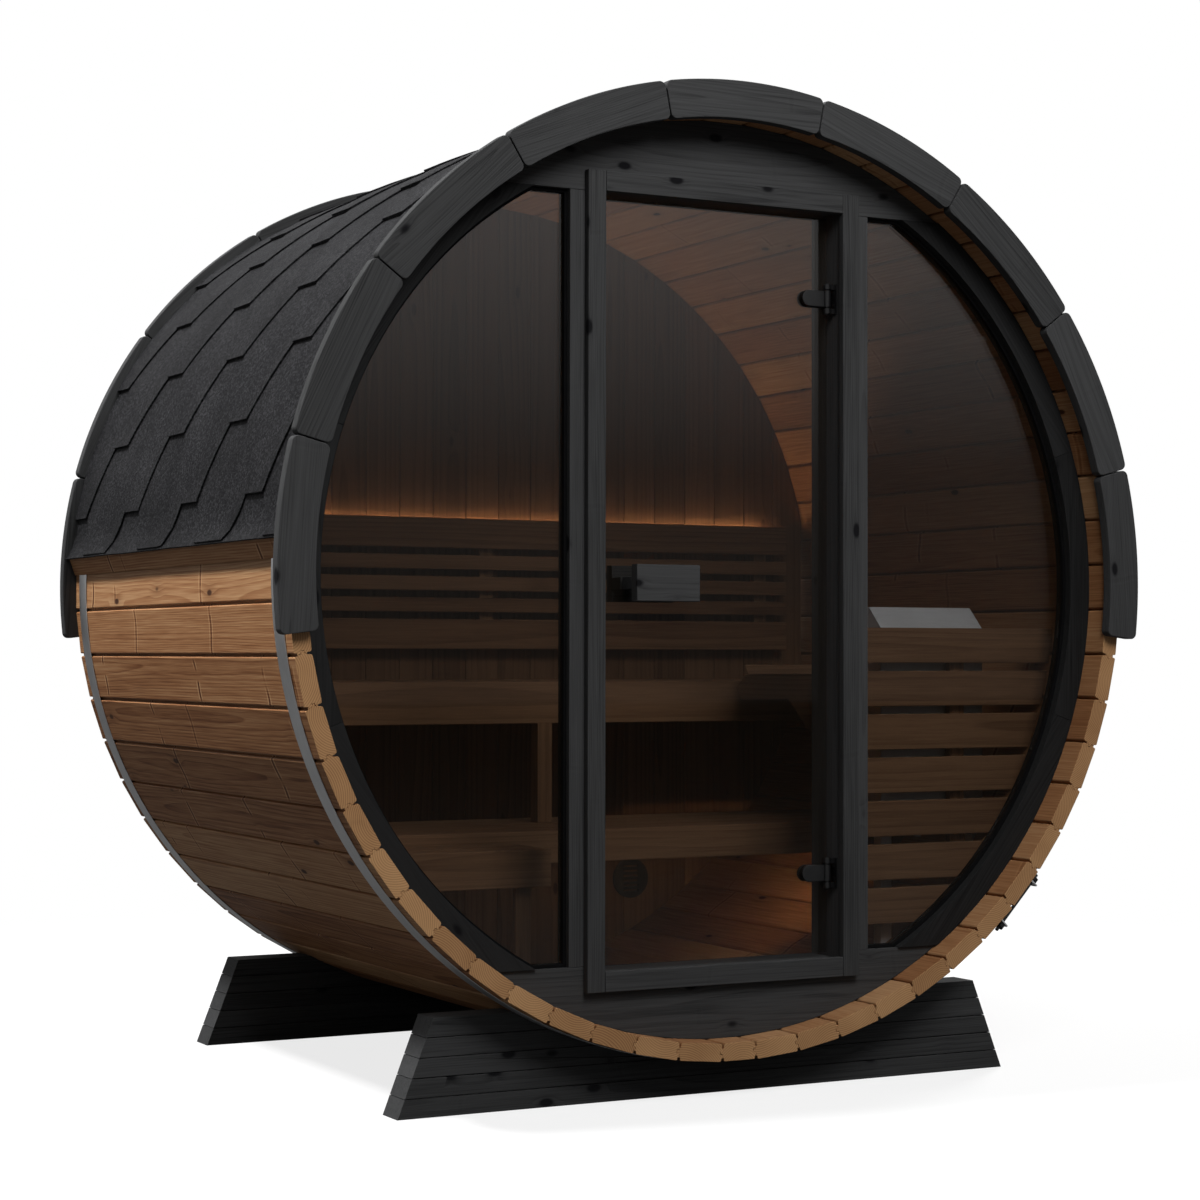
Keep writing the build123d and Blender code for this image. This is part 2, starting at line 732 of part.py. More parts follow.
# Step bench: the lower bench's front corner on the left, on one leg
step_front = wall_back + step_front_share * room_depth
step_back = lower_bench_front - seat_gap
step_height = axis_height - step_drop_share * stave_inner
step_right = -step_right_share * stave_inner
with BuildPart() as step_bench:
    bench_top(step_front, step_back, step_height, -stave_outer, step_right, step_slats)
    with Locations((-stave_outer, step_front, step_height)):
        Box(stave_outer + step_right, bench_board, step_apron, align=LEFT_FRONT_TOP)
    with Locations((step_right - bench_board, step_front, step_height)):
        Box(bench_board, step_back - step_front, step_apron, align=LEFT_FRONT_TOP)
    with Locations((step_right - step_leg_inset, step_front, step_height - bench_board)):
        Box(bench_leg, bench_leg, step_height, align=(Align.MAX, Align.MIN, Align.MAX))
    trim_to_barrel()
save(step_bench.part, "step_bench")

# Side seat: a thick board with a nosed end along the right wall, on a slanted bracket
seat_top = axis_height - seat_drop_share * stave_inner
seat_low = seat_top - seat_thickness
seat_left = seat_left_share * stave_inner
bracket_start = bracket_share * stave_inner
with BuildPart() as side_seat:
    with BuildSketch(upright(lower_bench_front)):
        with BuildLine():
            Polyline(
                (seat_left + seat_nose, seat_top), (seat_left, seat_low + seat_nose),
                (seat_left + seat_bevel, seat_low), (bracket_start, seat_low),
                (bracket_start + bracket_drop, seat_low - bracket_drop),
                (stave_outer, seat_low - bracket_drop), (stave_outer, seat_top), close=True,
            )
        make_face()
    extrude(amount=-(upper_bench_front - lower_bench_front - seat_gap))
    top_front = side_seat.edges().filter_by(Axis.X).group_by(Axis.Z)[-1].sort_by(Axis.Y)[0]
    chamfer(top_front, seat_bevel)
    trim_to_barrel()
save(side_seat.part, "side_seat")

# Backrest: a wide board above and below three slats, on upright battens against the rear wall
backrest_front = rear_wall_front - seat_gap - batten_thickness - backrest_board
backrest_bottom = axis_height - backrest_drop_share * stave_inner
backrest_half_width = backrest_half_share * stave_inner
backrest_rise = 2 * backrest_wide + backrest_slats * backrest_slat + (backrest_slats + 1) * backrest_gap
with BuildPart() as backrest:
    level = backrest_bottom
    for board in range(backrest_slats + 2):
        height = backrest_slat if 0 < board <= backrest_slats else backrest_wide
        with Locations((0, backrest_front, level)):
            Box(2 * backrest_half_width, backrest_board, height, align=FRONT_LOW)
        level += height + backrest_gap
    for share in batten_shares:
        with Locations((share * backrest_half_width, backrest_front + backrest_board, backrest_bottom)):
            Box(batten_width, batten_thickness, backrest_rise - 2 * lamp_drop - lamp_height, align=FRONT_LOW)
save(backrest.part, "backrest")

# Lamp strips: one on the wall behind the top board of the backrest, one behind the lower bench's apron
floor_lamp_height = lower_bench_height - lower_bench_apron + lamp_drop
with BuildPart() as lamp:
    lamp_level = backrest_bottom + backrest_rise - lamp_drop - lamp_height
    with Locations((0, rear_wall_front - lamp_depth, lamp_level)):
        Box(2 * lamp_half_share * stave_inner, lamp_depth, lamp_height, align=FRONT_LOW)
    with Locations((floor_lamp_share * stave_inner, lower_bench_front + bench_board, floor_lamp_height)):
        Box(floor_lamp_length, lamp_depth, lamp_height, align=LEFT_FRONT_LOW)
save(lamp.part, "light_strip")

# Heater guard: horizontal slats on two uprights that stand on the staves
guard_front = wall_front + lining_depth + guard_clearance
guard_left = guard_left_share * stave_inner
guard_top = axis_height - guard_drop_share * stave_inner
guard_pitch = guard_slat + guard_gap
with BuildPart() as guard:
    for slat in range(guard_slats):
        with Locations((guard_left, guard_front, guard_top - slat * guard_pitch)):
            Box(stave_outer - guard_left, guard_board, guard_slat, align=LEFT_FRONT_TOP)
    for place in (guard_left + guard_batten_inset, guard_batten_share * stave_inner):
        with Locations((place, guard_front + guard_board, guard_top - guard_batten_inset)):
            Box(guard_batten, guard_board, guard_top, align=LEFT_FRONT_TOP)
    trim_to_barrel()
save(guard.part, "heater_guard")

# Heater: a sheet housing with a sloping hood, open at the back of the hood, on four legs
heater_left = heater_left_share * stave_inner
heater_start = guard_front + 2 * guard_board + heater_clearance
heater_depth = heater_depth_share * room_depth
heater_bottom = axis_height - heater_bottom_share * stave_inner
heater_profile = (
    (heater_start, heater_bottom), (heater_start, guard_top),
    (heater_start + heater_hood, guard_top + heater_hood),
    (heater_start + heater_depth, guard_top + heater_hood), (heater_start + heater_depth, heater_bottom),
)
side_plane = Plane(origin=(heater_left, 0, 0), x_dir=(0, 1, 0), z_dir=(1, 0, 0))
with BuildPart() as heater:
    with BuildSketch(side_plane):
        with BuildLine():
            Polyline(*heater_profile, close=True)
        make_face()
    extrude(amount=heater_width)
    offset(amount=-heater_sheet, openings=heater.faces().sort_by(Axis.Z)[-1])
    for side in (0, heater_width - heater_leg):
        for depth in (0, heater_depth - heater_leg):
            with Locations((heater_left + side, heater_start + depth, heater_bottom)):
                Box(heater_leg, heater_leg, heater_bottom, align=LEFT_FRONT_TOP)
    trim_to_barrel()
save(heater.part, "heater")
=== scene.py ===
import math

import bpy
import numpy as np
from mathutils import Matrix, Vector


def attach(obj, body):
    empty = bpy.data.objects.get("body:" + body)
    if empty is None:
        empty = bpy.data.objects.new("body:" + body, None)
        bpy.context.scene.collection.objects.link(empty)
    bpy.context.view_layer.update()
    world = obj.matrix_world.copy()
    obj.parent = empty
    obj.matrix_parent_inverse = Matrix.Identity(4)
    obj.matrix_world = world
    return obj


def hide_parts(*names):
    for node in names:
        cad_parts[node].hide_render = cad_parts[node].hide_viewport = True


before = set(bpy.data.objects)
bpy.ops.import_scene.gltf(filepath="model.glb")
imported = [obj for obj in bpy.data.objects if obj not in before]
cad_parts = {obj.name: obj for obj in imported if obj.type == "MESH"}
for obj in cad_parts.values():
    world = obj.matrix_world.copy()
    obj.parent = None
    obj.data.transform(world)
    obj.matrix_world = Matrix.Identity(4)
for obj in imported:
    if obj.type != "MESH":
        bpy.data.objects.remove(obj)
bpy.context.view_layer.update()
scene = bpy.context.scene
scene.view_settings.view_transform = "Standard"
print("frame loaded:", len(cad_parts), "nodes")

# sizes that several pieces share, in metres; the barrel's axis runs along Y
barrel = {"axisHeight": 1.093, "length": 1.395, "outer": 1.014, "thickness": 0.038, "fullStaves": 59,
          "closingShare": 0.777, "seatGap": 0.0003, "cutPlay": 0.0005}
# how a board lies in its log: the pith's distance, the place along the log and aside; then the steps of an
# edge, and the least divisor at a sharp corner
sawn = {"pith": (0.03, 0.11), "along": 40, "aside": 0.05, "edgeSteps": 3, "sharpest": 0.2}
frontEnd = -barrel["length"] / 2
rearEnd = barrel["length"] / 2
axisHeight = barrel["axisHeight"]
seatGap, cutPlay = barrel["seatGap"], barrel["cutPlay"]
staveInner = barrel["outer"] - barrel["thickness"]
insideFit = staveInner - seatGap
xAxis, yAxis, zAxis = np.eye(3)
upright = [xAxis, zAxis, -yAxis]
sides = (("right", 1), ("left", -1))
# boards wait on the pile until place() makes one mesh of them
pile = {"verts": [], "faces": [], "log": [], "tone": []}


# directions at a clock angle: along the rim, straight out from the axis, and to the front
def clockAxes(clock):
    turn = math.radians(clock)
    return np.array([[math.cos(turn), 0, -math.sin(turn)], [math.sin(turn), 0, math.cos(turn)], -yAxis])


# half the chord of the inside circle at a distance off the axis
def chordAt(off):
    return np.sqrt(np.maximum(insideFit ** 2 - np.asarray(off) ** 2, 0))


# points of an arc by clock angle: radius times sine and cosine, round a hub
def arcPoints(radius, start, end, count, hub=(0, 0)):
    turn = np.linspace(start, end, count)
    return np.stack([radius * np.sin(turn), radius * np.cos(turn)], 1) + np.asarray(hub)


# a rectangle as an outline, from two corners
def rectangle(x0, y0, x1, y1):
    return np.array([[x0, y0], [x1, y0], [x1, y1], [x0, y1]])


# direction in which each corner of a closed outline moves inwards, so that its edges stay parallel
def inwardSteps(outline):
    after = np.roll(outline, -1, 0) - outline
    after = after / np.linalg.norm(after, axis=1, keepdims=True)
    before = np.roll(after, 1, 0)
    normals = np.stack([-before[:, 1] - after[:, 1], before[:, 0] + after[:, 0]], 1)
    return normals / np.maximum(1 + (before * after).sum(1, keepdims=True), sawn["sharpest"])


# rows of vertices joined by quads, each row with the same number of vertices, closed on itself or open
def quadGrid(rows, cols, closed):
    row = np.arange(rows - 1)[:, None]
    col = np.arange(cols if closed else cols - 1)[None, :]
    nextCol = (col + 1) % cols
    return np.stack([
        row * cols + col, row * cols + nextCol, (row + 1) * cols + nextCol, (row + 1) * cols + col,
    ], 2).reshape(-1, 4)


# faces of a bar: closed rows joined by quads, and one flat face over each end
def cappedFaces(rows, cols):
    ends = [list(range(cols))[::-1], list(range((rows - 1) * cols, rows * cols))]
    return quadGrid(rows, cols, True).tolist() + ends


# faces of a hollow ring: closed rows joined by quads, the last row joined to the first
def loopFaces(rows, cols):
    return quadGrid(rows + 1, cols, True) % (rows * cols)


# put one patch of vertices and faces on the pile; log is each vertex's place in the log it was sawn from
def drop(verts, faces, log=None, tone=0.5):
    first = sum(map(len, pile["verts"]))
    pile["faces"] += [[int(i) + first for i in face] for face in faces]
    pile["verts"].append(verts)
    pile["log"].append(verts if log is None else log)
    pile["tone"].append(np.full(len(verts), tone))


# a flat board: its outline is stacked through the depth, drawn in along a quarter circle at both faces;
# the log frame runs along the grain with the pith some way off the board, a new place for every seed
def addBoard(outline, depth, edge, origin, axes=upright, grain="x", seed=0, pith=sawn["pith"]):
    outline = np.asarray(outline, float)
    after = np.roll(outline, -1, 0)
    if np.sum(outline[:, 0] * after[:, 1] - after[:, 0] * outline[:, 1]) < 0:
        outline = outline[::-1]
    bend = np.linspace(0, math.pi / 2, sawn["edgeSteps"])
    inset = edge * (1 - np.sin(bend))
    rise = edge * (1 - np.cos(bend))
    inset = np.concatenate([inset, inset[::-1]])
    rise = np.concatenate([rise, depth - rise[::-1]])
    loops = outline[None] + inwardSteps(outline)[None] * inset[:, None, None]
    levels = np.broadcast_to(rise[:, None, None], loops.shape[:2] + (1,))
    local = np.concatenate([loops, levels], 2).reshape(-1, 3)
    order = {"x": [0, 1, 2], "y": [1, 0, 2], "z": [2, 0, 1]}[grain]
    pick = np.random.default_rng(seed)
    away = pick.uniform(*pith) * pick.choice([-1, 1])
    shift = np.array([pick.uniform(0, sawn["along"]), pick.uniform(-sawn["aside"], sawn["aside"]), away])
    across = local[:, order[1:]]
    middle = np.array([0, *(across.max(0) + across.min(0)) / 2])
    drop(np.asarray(origin) + local @ np.asarray(axes), cappedFaces(len(rise), len(outline)),
         local[:, order] - middle + shift, pick.uniform(0, 1))


# a board across the barrel between two distances from the front end
def addUpright(outline, front, back, edge, level=0, axes=upright, **sawing):
    addBoard(outline, back - front, edge, [0, frontEnd + back, level], axes, **sawing)


# a board given by its lowest and highest corners, its outline in the plane of the two longer sides;
# distances along the barrel are measured from the front end
def addBlock(low, high, edge, seed=0):
    size = np.asarray(high, float) - low
    low = np.asarray(low, float) + [0, frontEnd, 0]
    order = np.argsort(-size)
    axes = np.eye(3)[order]
    if np.linalg.det(axes) < 0:
        axes[2] = -axes[2]
        low = low + np.eye(3)[order[2]] * size[order[2]]
    long, wide, thin = size[order]
    addBoard(rectangle(0, 0, long, wide), thin, edge, low, axes, seed=seed)


# a turned part: rings of the profile's radii along an axis, closed by flat ends, or on itself if hollow
def addTurned(profile, origin, axis, segments, hollow=False):
    axis, profile = np.asarray(axis, float), np.asarray(profile, float)
    side = np.cross(axis, yAxis)
    side /= np.linalg.norm(side)
    angle = np.linspace(0, 2 * math.pi, segments, endpoint=False)[:, None]
    circle = np.cos(angle) * side + np.sin(angle) * np.cross(axis, side)
    rings = profile[:, None, 1:2] * circle[None] + profile[:, None, 0:1] * axis
    faces = (loopFaces if hollow else cappedFaces)(len(profile), segments)
    drop(np.asarray(origin) + rings.reshape(-1, 3), faces)


# make a mesh of the pile, give it the look of its slot or another, and let it stand for its CAD nodes
def place(name, slotName, nodes=(), body="cabin", sharpAngle=40, look=None):
    mesh = bpy.data.meshes.new(name)
    mesh.from_pydata(np.concatenate(pile["verts"]), [], pile["faces"])
    for key, kind, field, rows in (("logPos", "FLOAT_VECTOR", "vector", pile["log"]),
                                   ("boardTone", "FLOAT", "value", pile["tone"])):
        layer = mesh.attributes.new(key, kind, "POINT")
        layer.data.foreach_set(field, np.concatenate(rows).astype(np.float32).ravel())
    mesh.polygons.foreach_set("use_smooth", np.ones(len(mesh.polygons), bool))
    mesh.set_sharp_from_angle(angle=math.radians(sharpAngle))
    mesh.update()
    piece = bpy.data.objects.new(name, mesh)
    scene.collection.objects.link(piece)
    mesh.materials.append(looks[look or slotName])
    piece.modifiers.new("flatFaces", "WEIGHTED_NORMAL").keep_sharp = True
    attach(piece, body)
    if nodes:
        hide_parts(*nodes)
    for rows in pile.values():
        rows.clear()


# a shader socket that takes part in sums; every node comes from node()
class Wire:
    def __init__(self, tree, socket):
        self.tree, self.socket = tree, socket

    # make a node, set it up and feed it; the new wire leaves from one of its outputs
    def node(self, kind, settings=None, sockets=None, out=0):
        made = self.tree.nodes.new(kind)
        for key, value in (settings or {}).items():
            setattr(made, key, value)
        return Wire(self.tree, made.outputs[out]).feed(sockets or {})

    # fill sockets of the node this wire comes from: wires are linked, plain values are set
    def feed(self, sockets):
        for key, value in sockets.items():
            if isinstance(value, Wire):
                self.tree.links.new(value.socket, self.socket.node.inputs[key])
            elif value is not None:
                self.socket.node.inputs[key].default_value = value
        return self

    # another output of the node this wire comes from
    def twin(self, out):
        return Wire(self.tree, self.socket.node.outputs[out])

    # one step of arithmetic
    def math(self, operation, other=None):
        return self.node("ShaderNodeMath", {"operation": operation}, {0: self, 1: other})

    def __add__(self, other):
        return self.math("ADD", other)

    def __sub__(self, other):
        return self.math("SUBTRACT", other)

    def __mul__(self, other):
        return self.math("MULTIPLY", other)

    def __truediv__(self, other):
        return self.math("DIVIDE", other)

    def __rsub__(self, other):
        return (self * -1.0).math("ADD", other)

    # smooth step from one value to another, 0 to 1; the ends may be given in falling order
    def step(self, start, end):
        low, high = min(start, end), max(start, end)
        rising = self.node("ShaderNodeMapRange", {"interpolation_type": "SMOOTHSTEP"},
                           {"Value": self, "From Min": low, "From Max": high})
        return rising if start < end else 1.0 - rising

    # place on the object, in metres
    def spot(self):
        return self.node("ShaderNodeTexCoord", out=3)

    # a value kept on the mesh
    def kept(self, name, out):
        return self.node("ShaderNodeAttribute", {"attribute_name": name}, out=out)

    # one of the three numbers of a place, or of the three channels of a colour
    def part(self, number, kind="XYZ"):
        return self.node("ShaderNodeSeparate" + kind, None, {0: self}, number)

    # cloudy noise at this place
    def noise(self, scale, detail=3.0, rough=0.55):
        return self.node("ShaderNodeTexNoise", {"noise_dimensions": "3D"},
                         {"Vector": self, "Scale": scale, "Detail": detail, "Roughness": rough})

    # cells round scattered points: the distance to the nearest one, its chance colour or its place
    def cells(self, scale=1.0, size="3D", out=0):
        return self.node("ShaderNodeTexVoronoi", {"voronoi_dimensions": size},
                         {"W" if size == "1D" else "Vector": self, "Scale": scale}, out)

    # this place times a factor for each axis
    def stretch(self, x, y, z):
        return self.node("ShaderNodeVectorMath", {"operation": "MULTIPLY"}, {0: self, 1: (x, y, z)})

    # colour read off between stops, each a value with its colour
    def ramp(self, stops):
        made = self.node("ShaderNodeValToRGB", None, {0: self})
        elements = made.socket.node.color_ramp.elements
        while len(elements) < len(stops):
            elements.new(1)
        for element, (spot, colour) in zip(elements, stops):
            element.position, element.color = spot, (*colour, 1)
        return made

    # this colour mixed with another by a factor
    def blend(self, other, factor):
        return self.node("ShaderNodeMix", {"data_type": "RGBA"}, {0: factor, 6: self, 7: other}, 2)

    # normals tilted by this height
    def bump(self, strength, distance):
        return self.node("ShaderNodeBump", None, {"Strength": strength, "Distance": distance, "Height": self})


# start a material: the material, and a wire from its surface shader
def newLook(name):
    look = bpy.data.materials.new(name)
    look.use_nodes = True
    return look, Wire(look.node_tree, look.node_tree.nodes["Principled BSDF"].outputs[0])


# stops that run from a share of a tint to another share of it
def tintStops(tint, low, lowShare, high, highShare=1.0):
    return [(low, tuple(lowShare * c for c in tint)), (high, tuple(highShare * c for c in tint))]


# what all the woods share: noise cells per metre along the grain and across it, then strengths and edges
timber = {
    "slow": (0.9, 5, 5), "wave": (3.2, 26, 26), "fibre": (9, 420, 420), "streak": (3.2, 115, 115),
    "grime": (1.5, 7, 7), "bend": (2, 13, 13), "broken": (3, 24, 24), "slowAside": 0.030, "slowDeep": 0.022,
    "waveDeep": 0.0022, "haloPush": 0.003, "haloEdge": (0.42, 0.04), "knotFade": 0.02, "knotCover": 0.9,
    "noKnot": 2.0, "knotCore": 0.5,
    "lateEdge": (1.0, 0.93), "whorlBend": 0.035, "brokenEdge": (0.34, 0.5), "force": 1.3, "forceLeast": 0.35,
    "darkEdge": (0.013, 0.004), "lightAt": 0.017, "lightEdge": (0.009, 0.002), "lightShare": 0.6,
    "planedLeast": 0.35, "planedFade": 0.003, "endFade": (0.0016, 0.0012), "endShare": 0.8, "endTone": 0.4,
    "fibreRelief": 0.4, "fibreRough": 0.12, "bumpDeep": 0.0012,
}


# sawn softwood: yearly rings are circles round the pith, read off at the board's place in its log, bent by
# slow noise and pushed aside by knots; branch whorls cross the board as short ridges, whose shade and
# highlight are painted into the colour as well
def woodLook(name, palette):
    look, start = newLook(name)
    log, tone = start.kept("logPos", 1), start.kept("boardTone", 2)
    along = log.part(0)

    # noise at the place in the log, its cells stretched along the grain
    def grain(key, detail=1.0, rough=0.55):
        return log.stretch(*timber[key]).noise(1.0, detail, rough)

    slow, wave = grain("slow") - 0.5, grain("wave") - 0.5
    # knots: cells stretched along the grain, only some of which hold one
    knots = log.stretch(*palette["knotCells"]).cells()
    chance = knots.twin(1).part(0, "Color")
    share = palette["knotShare"]
    near = knots + chance.step(share, share + timber["knotFade"]) * timber["noKnot"]
    knot = near.step(palette["knotSize"], palette["knotSize"] * timber["knotCore"])
    halo = near.step(*timber["haloEdge"])
    sideways, deep = along.twin(1) + slow * timber["slowAside"], along.twin(2) + slow * timber["slowDeep"]
    radius = (sideways * sideways + deep * deep).math("SQRT")
    radius = radius + wave * timber["waveDeep"] + halo * timber["haloPush"]
    phase = (radius / palette["ring"]).math("FRACT")
    late = phase.math("POWER", palette["ringEdge"]) * phase.step(*timber["lateEdge"])
    # fine fibres and streaks, long along the grain, and slow grime
    fibre, streak, grime = grain("fibre"), grain("streak", 2.0, 0.65), grain("grime", 2.0)
    # whorls: lines across the board at uneven distances, broken up over the width
    reading = (along + (grain("bend", 0.0) - 0.5) * timber["whorlBend"]) * palette["whorlsPerMetre"]
    line = reading.cells(size="1D", out=3)
    force = line.twin(1).part(0, "Color") * timber["force"] + timber["forceLeast"]
    broken = grain("broken", 0.0).step(*timber["brokenEdge"]) * force
    aside = (reading - line).math("ABSOLUTE")
    dark = aside.step(*timber["darkEdge"]) * broken
    light = (aside - timber["lightAt"]).math("ABSOLUTE").step(*timber["lightEdge"]) * broken
    ridge = light * timber["lightShare"] - dark
    coarse = 1.0
    if palette["planedWithin"]:
        across = start.spot().part(0)
        upFrom = across.twin(2) - axisHeight
        edge = palette["planedWithin"]
        coarse = (across * across + upFrom * upFrom).math("SQRT").step(edge, edge + timber["planedFade"])
        coarse = coarse * (1 - timber["planedLeast"]) + timber["planedLeast"]
        ridge = ridge * coarse
    mix = late * coarse * palette["ringDepth"] + (fibre - 0.5) * palette["fibre"]
    mix = mix + (grime - 0.5) * palette["grime"] + (streak - 0.5) * coarse * palette["streak"]
    # the whorl ridge also darkens the colour on its line and lightens it on its borders: painted shade and
    # painted highlight of the ridge that the bump raises
    mix = mix + (tone - 0.5) * palette["boardSpread"] - ridge * palette["whorlPaintedShading"] + palette["level"]
    base = mix.ramp(palette["stops"])
    base = base.blend((*palette["knotColour"], 1), knot * timber["knotCover"] + halo * palette["halo"])
    if palette["endColour"]:
        endOn = start.spot().part(1).math("ABSOLUTE").step(*(rearEnd - fade for fade in timber["endFade"]))
        endMix = late * timber["endShare"] + (grime - 0.5) * timber["endShare"] + tone * timber["endTone"]
        base = base.blend(endMix.ramp(palette["endColour"]), endOn)
    height = fibre * timber["fibreRelief"] + ridge * palette["whorlRelief"]
    start.feed({"Base Color": base, "Roughness": fibre * timber["fibreRough"] + palette["roughness"],
                "Normal": height.bump(palette["relief"], timber["bumpDeep"]),
                "Specular IOR Level": palette["gloss"]})
    return look


thermoWood = {
    "ring": 0.0046, "ringDepth": 0.42, "ringEdge": 2.4, "fibre": 0.6, "streak": 0.75, "grime": 0.42,
    "level": 0.36, "halo": 0.16, "boardSpread": 0.5, "knotCells": (6.0, 14.0, 14.0), "knotSize": 0.12,
    "knotShare": 0.45, "planedWithin": 0.98, "whorlsPerMetre": 2.1, "whorlPaintedShading": 0.62, "whorlRelief": 0.8,
    "relief": 0.55, "roughness": 0.55, "gloss": 0.25, "knotColour": (0.055, 0.02, 0.009),
    "stops": [(0.0, (0.51, 0.30, 0.152)), (0.4, (0.355, 0.173, 0.077)), (0.75, (0.215, 0.087, 0.034)),
              (1.0, (0.115, 0.041, 0.016))],
    "endColour": [(0.0, (0.58, 0.335, 0.16)), (0.5, (0.41, 0.22, 0.10)), (1.0, (0.23, 0.108, 0.046))],
}
plainWood = dict(thermoWood, planedWithin=None, endColour=None)
benchWood = dict(
    plainWood, ring=0.008, ringDepth=0.35, streak=0.35, boardSpread=0.35, knotShare=0.05, whorlPaintedShading=0.0,
    whorlRelief=0.0, relief=0.3,
    stops=[(0.0, (0.33, 0.185, 0.10)), (0.5, (0.225, 0.12, 0.062)), (1.0, (0.115, 0.055, 0.029))])
wallWood = dict(
    plainWood, knotShare=0.3, whorlPaintedShading=0.04, whorlRelief=0.1, ring=0.009, ringDepth=0.3, fibre=0.25,
    streak=0.3,
    stops=[(0.0, (0.26, 0.142, 0.075)), (0.5, (0.17, 0.088, 0.044)), (1.0, (0.075, 0.034, 0.017))])
blackWood = dict(
    plainWood, ring=0.0035, ringDepth=0.35, fibre=0.7, streak=0.6, boardSpread=0.35, knotSize=0.2,
    knotCells=(9.0, 17.0, 17.0), knotShare=0.26, whorlPaintedShading=0.04, whorlRelief=0.2, relief=0.5,
    roughness=0.72, gloss=0.16,
    stops=[(0.0, (0.066, 0.0665, 0.068)), (0.5, (0.049, 0.0495, 0.0503)), (1.0, (0.022, 0.0223, 0.0228))],
    knotColour=(0.006, 0.006, 0.007))
# painted shade: the window rings' black wood made darker, standing in for the fascia's shade over the rings
shadedRimWood = dict(
    blackWood, knotShare=0.1, gloss=0.1,
    stops=[(0.0, (0.024, 0.0242, 0.0247)), (0.5, (0.017, 0.0172, 0.0175)), (1.0, (0.008, 0.0081, 0.0083))])
# the material of each slot, and a darker copy of the black wood for the window rings, with painted shade
looks = {
    "thermo_wood": woodLook("thermoWood", thermoWood), "bench_wood": woodLook("benchWood", benchWood),
    "wall_wood": woodLook("wallWood", wallWood), "black_wood": woodLook("blackWood", blackWood),
    "shaded_rim_wood": woodLook("shadedRimWood", shadedRimWood),
}
print("woods made")

# granules of the shingles: cells and patches per metre, how much each counts for the tone, relief and colours
felt = {"beads": 620.0, "crumbs": 240.0, "patches": 7.0, "beadTone": 0.3, "crumbTone": 0.45, "patchTone": 0.4,
        "boardTone": 0.2, "relief": 0.5, "reliefDeep": 0.001, "patchRelief": 0.5, "roughness": 0.85,
        "gloss": 0.2,
        "stops": [(0.15, (0.003, 0.003, 0.0034)), (0.5, (0.0115, 0.0115, 0.0125)),
                  (0.95, (0.05, 0.05, 0.053))]}
steel = {"clouds": 9.0, "brushedTone": 0.6, "cloudTone": 0.4, "brushedGloss": 0.12, "cloudGloss": 0.1,
         "darkAt": 0.25, "darkShare": 0.72, "tintAt": 0.75}
coat = {"pebbles": 900.0, "wear": 30.0, "wearGloss": 0.2, "relief": 0.25, "reliefDeep": 0.0004, "darkAt": 0.3,
        "darkShare": 0.75, "lightAt": 0.7, "lightShare": 1.25}
glass = {"smears": 5.0, "smearGloss": 0.03, "roughness": 0.01, "tint": (0.012, 0.009, 0.006), "alpha": 0.26,
         "ior": 1.72, "gloss": 0.9}
# the floor strip fades out to the right from fadeFrom to fadeTo; wallLevel parts it from the wall strip
strip = {"beads": 60, "tint": (1.0, 0.67, 0.37), "strength": 48.0, "darkAt": 0.3, "darkShare": 0.8,
         "tintAt": 0.7, "wallLevel": (0.79, 0.81), "facing": (0.3, 0.9), "fadeTo": 0.60, "fadeFrom": 0.50,
         "floorShare": 4.2}


# mineral felt: dark base with fine granules, a few lighter, and slow weathering streaks
def shingleLook():
    look, start = newLook("shingleFelt")
    spot = start.spot()
    bead = spot.cells(felt["beads"], out=1).part(0, "Color")
    crumb = spot.cells(felt["crumbs"], out=1).part(1, "Color")
    patch, tone = spot.noise(felt["patches"], 4.0), start.kept("boardTone", 2)
    mix = bead * felt["beadTone"] + crumb * felt["crumbTone"]
    mix = mix + (patch - 0.5) * felt["patchTone"] + tone * felt["boardTone"]
    height = bead + patch * felt["patchRelief"]
    start.feed({"Base Color": mix.ramp(felt["stops"]), "Roughness": felt["roughness"],
                "Normal": height.bump(felt["relief"], felt["reliefDeep"]),
                "Specular IOR Level": felt["gloss"]})
    return look


# rolled steel: fine lines along the strip with cloudy gloss
def steelLook(name, tint, lines, rough, metal=1.0):
    look, start = newLook(name)
    spot = start.spot()
    brushed, cloud = spot.stretch(*lines).noise(1.0), spot.noise(steel["clouds"])
    mix = brushed * steel["brushedTone"] + cloud * steel["cloudTone"]
    gloss = brushed * steel["brushedGloss"] + cloud * steel["cloudGloss"] + rough
    stops = tintStops(tint, steel["darkAt"], steel["darkShare"], steel["tintAt"])
    start.feed({"Base Color": mix.ramp(stops), "Roughness": gloss, "Metallic": metal})
    return look


# powder coat: near black with a slight pebble
def coatLook(name, tint, rough, gloss=0.5):
    look, start = newLook(name)
    pebble, wear = start.spot().noise(coat["pebbles"], 2.0), start.spot().noise(coat["wear"])
    stops = tintStops(tint, coat["darkAt"], coat["darkShare"], coat["lightAt"], coat["lightShare"])
    start.feed({"Base Color": wear.ramp(stops), "Roughness": wear * coat["wearGloss"] + rough,
                "Normal": pebble.bump(coat["relief"], coat["reliefDeep"]), "Specular IOR Level": gloss})
    return look


# bronze tinted pane: mostly see-through, with a weak mirror film and faint smears in the gloss
def paneLook(name):
    look, start = newLook(name)
    smear = start.spot().noise(glass["smears"])
    start.feed({"Base Color": (*glass["tint"], 1), "Alpha": glass["alpha"], "IOR": glass["ior"],
                "Roughness": smear * glass["smearGloss"] + glass["roughness"],
                "Specular IOR Level": glass["gloss"]})
    return look


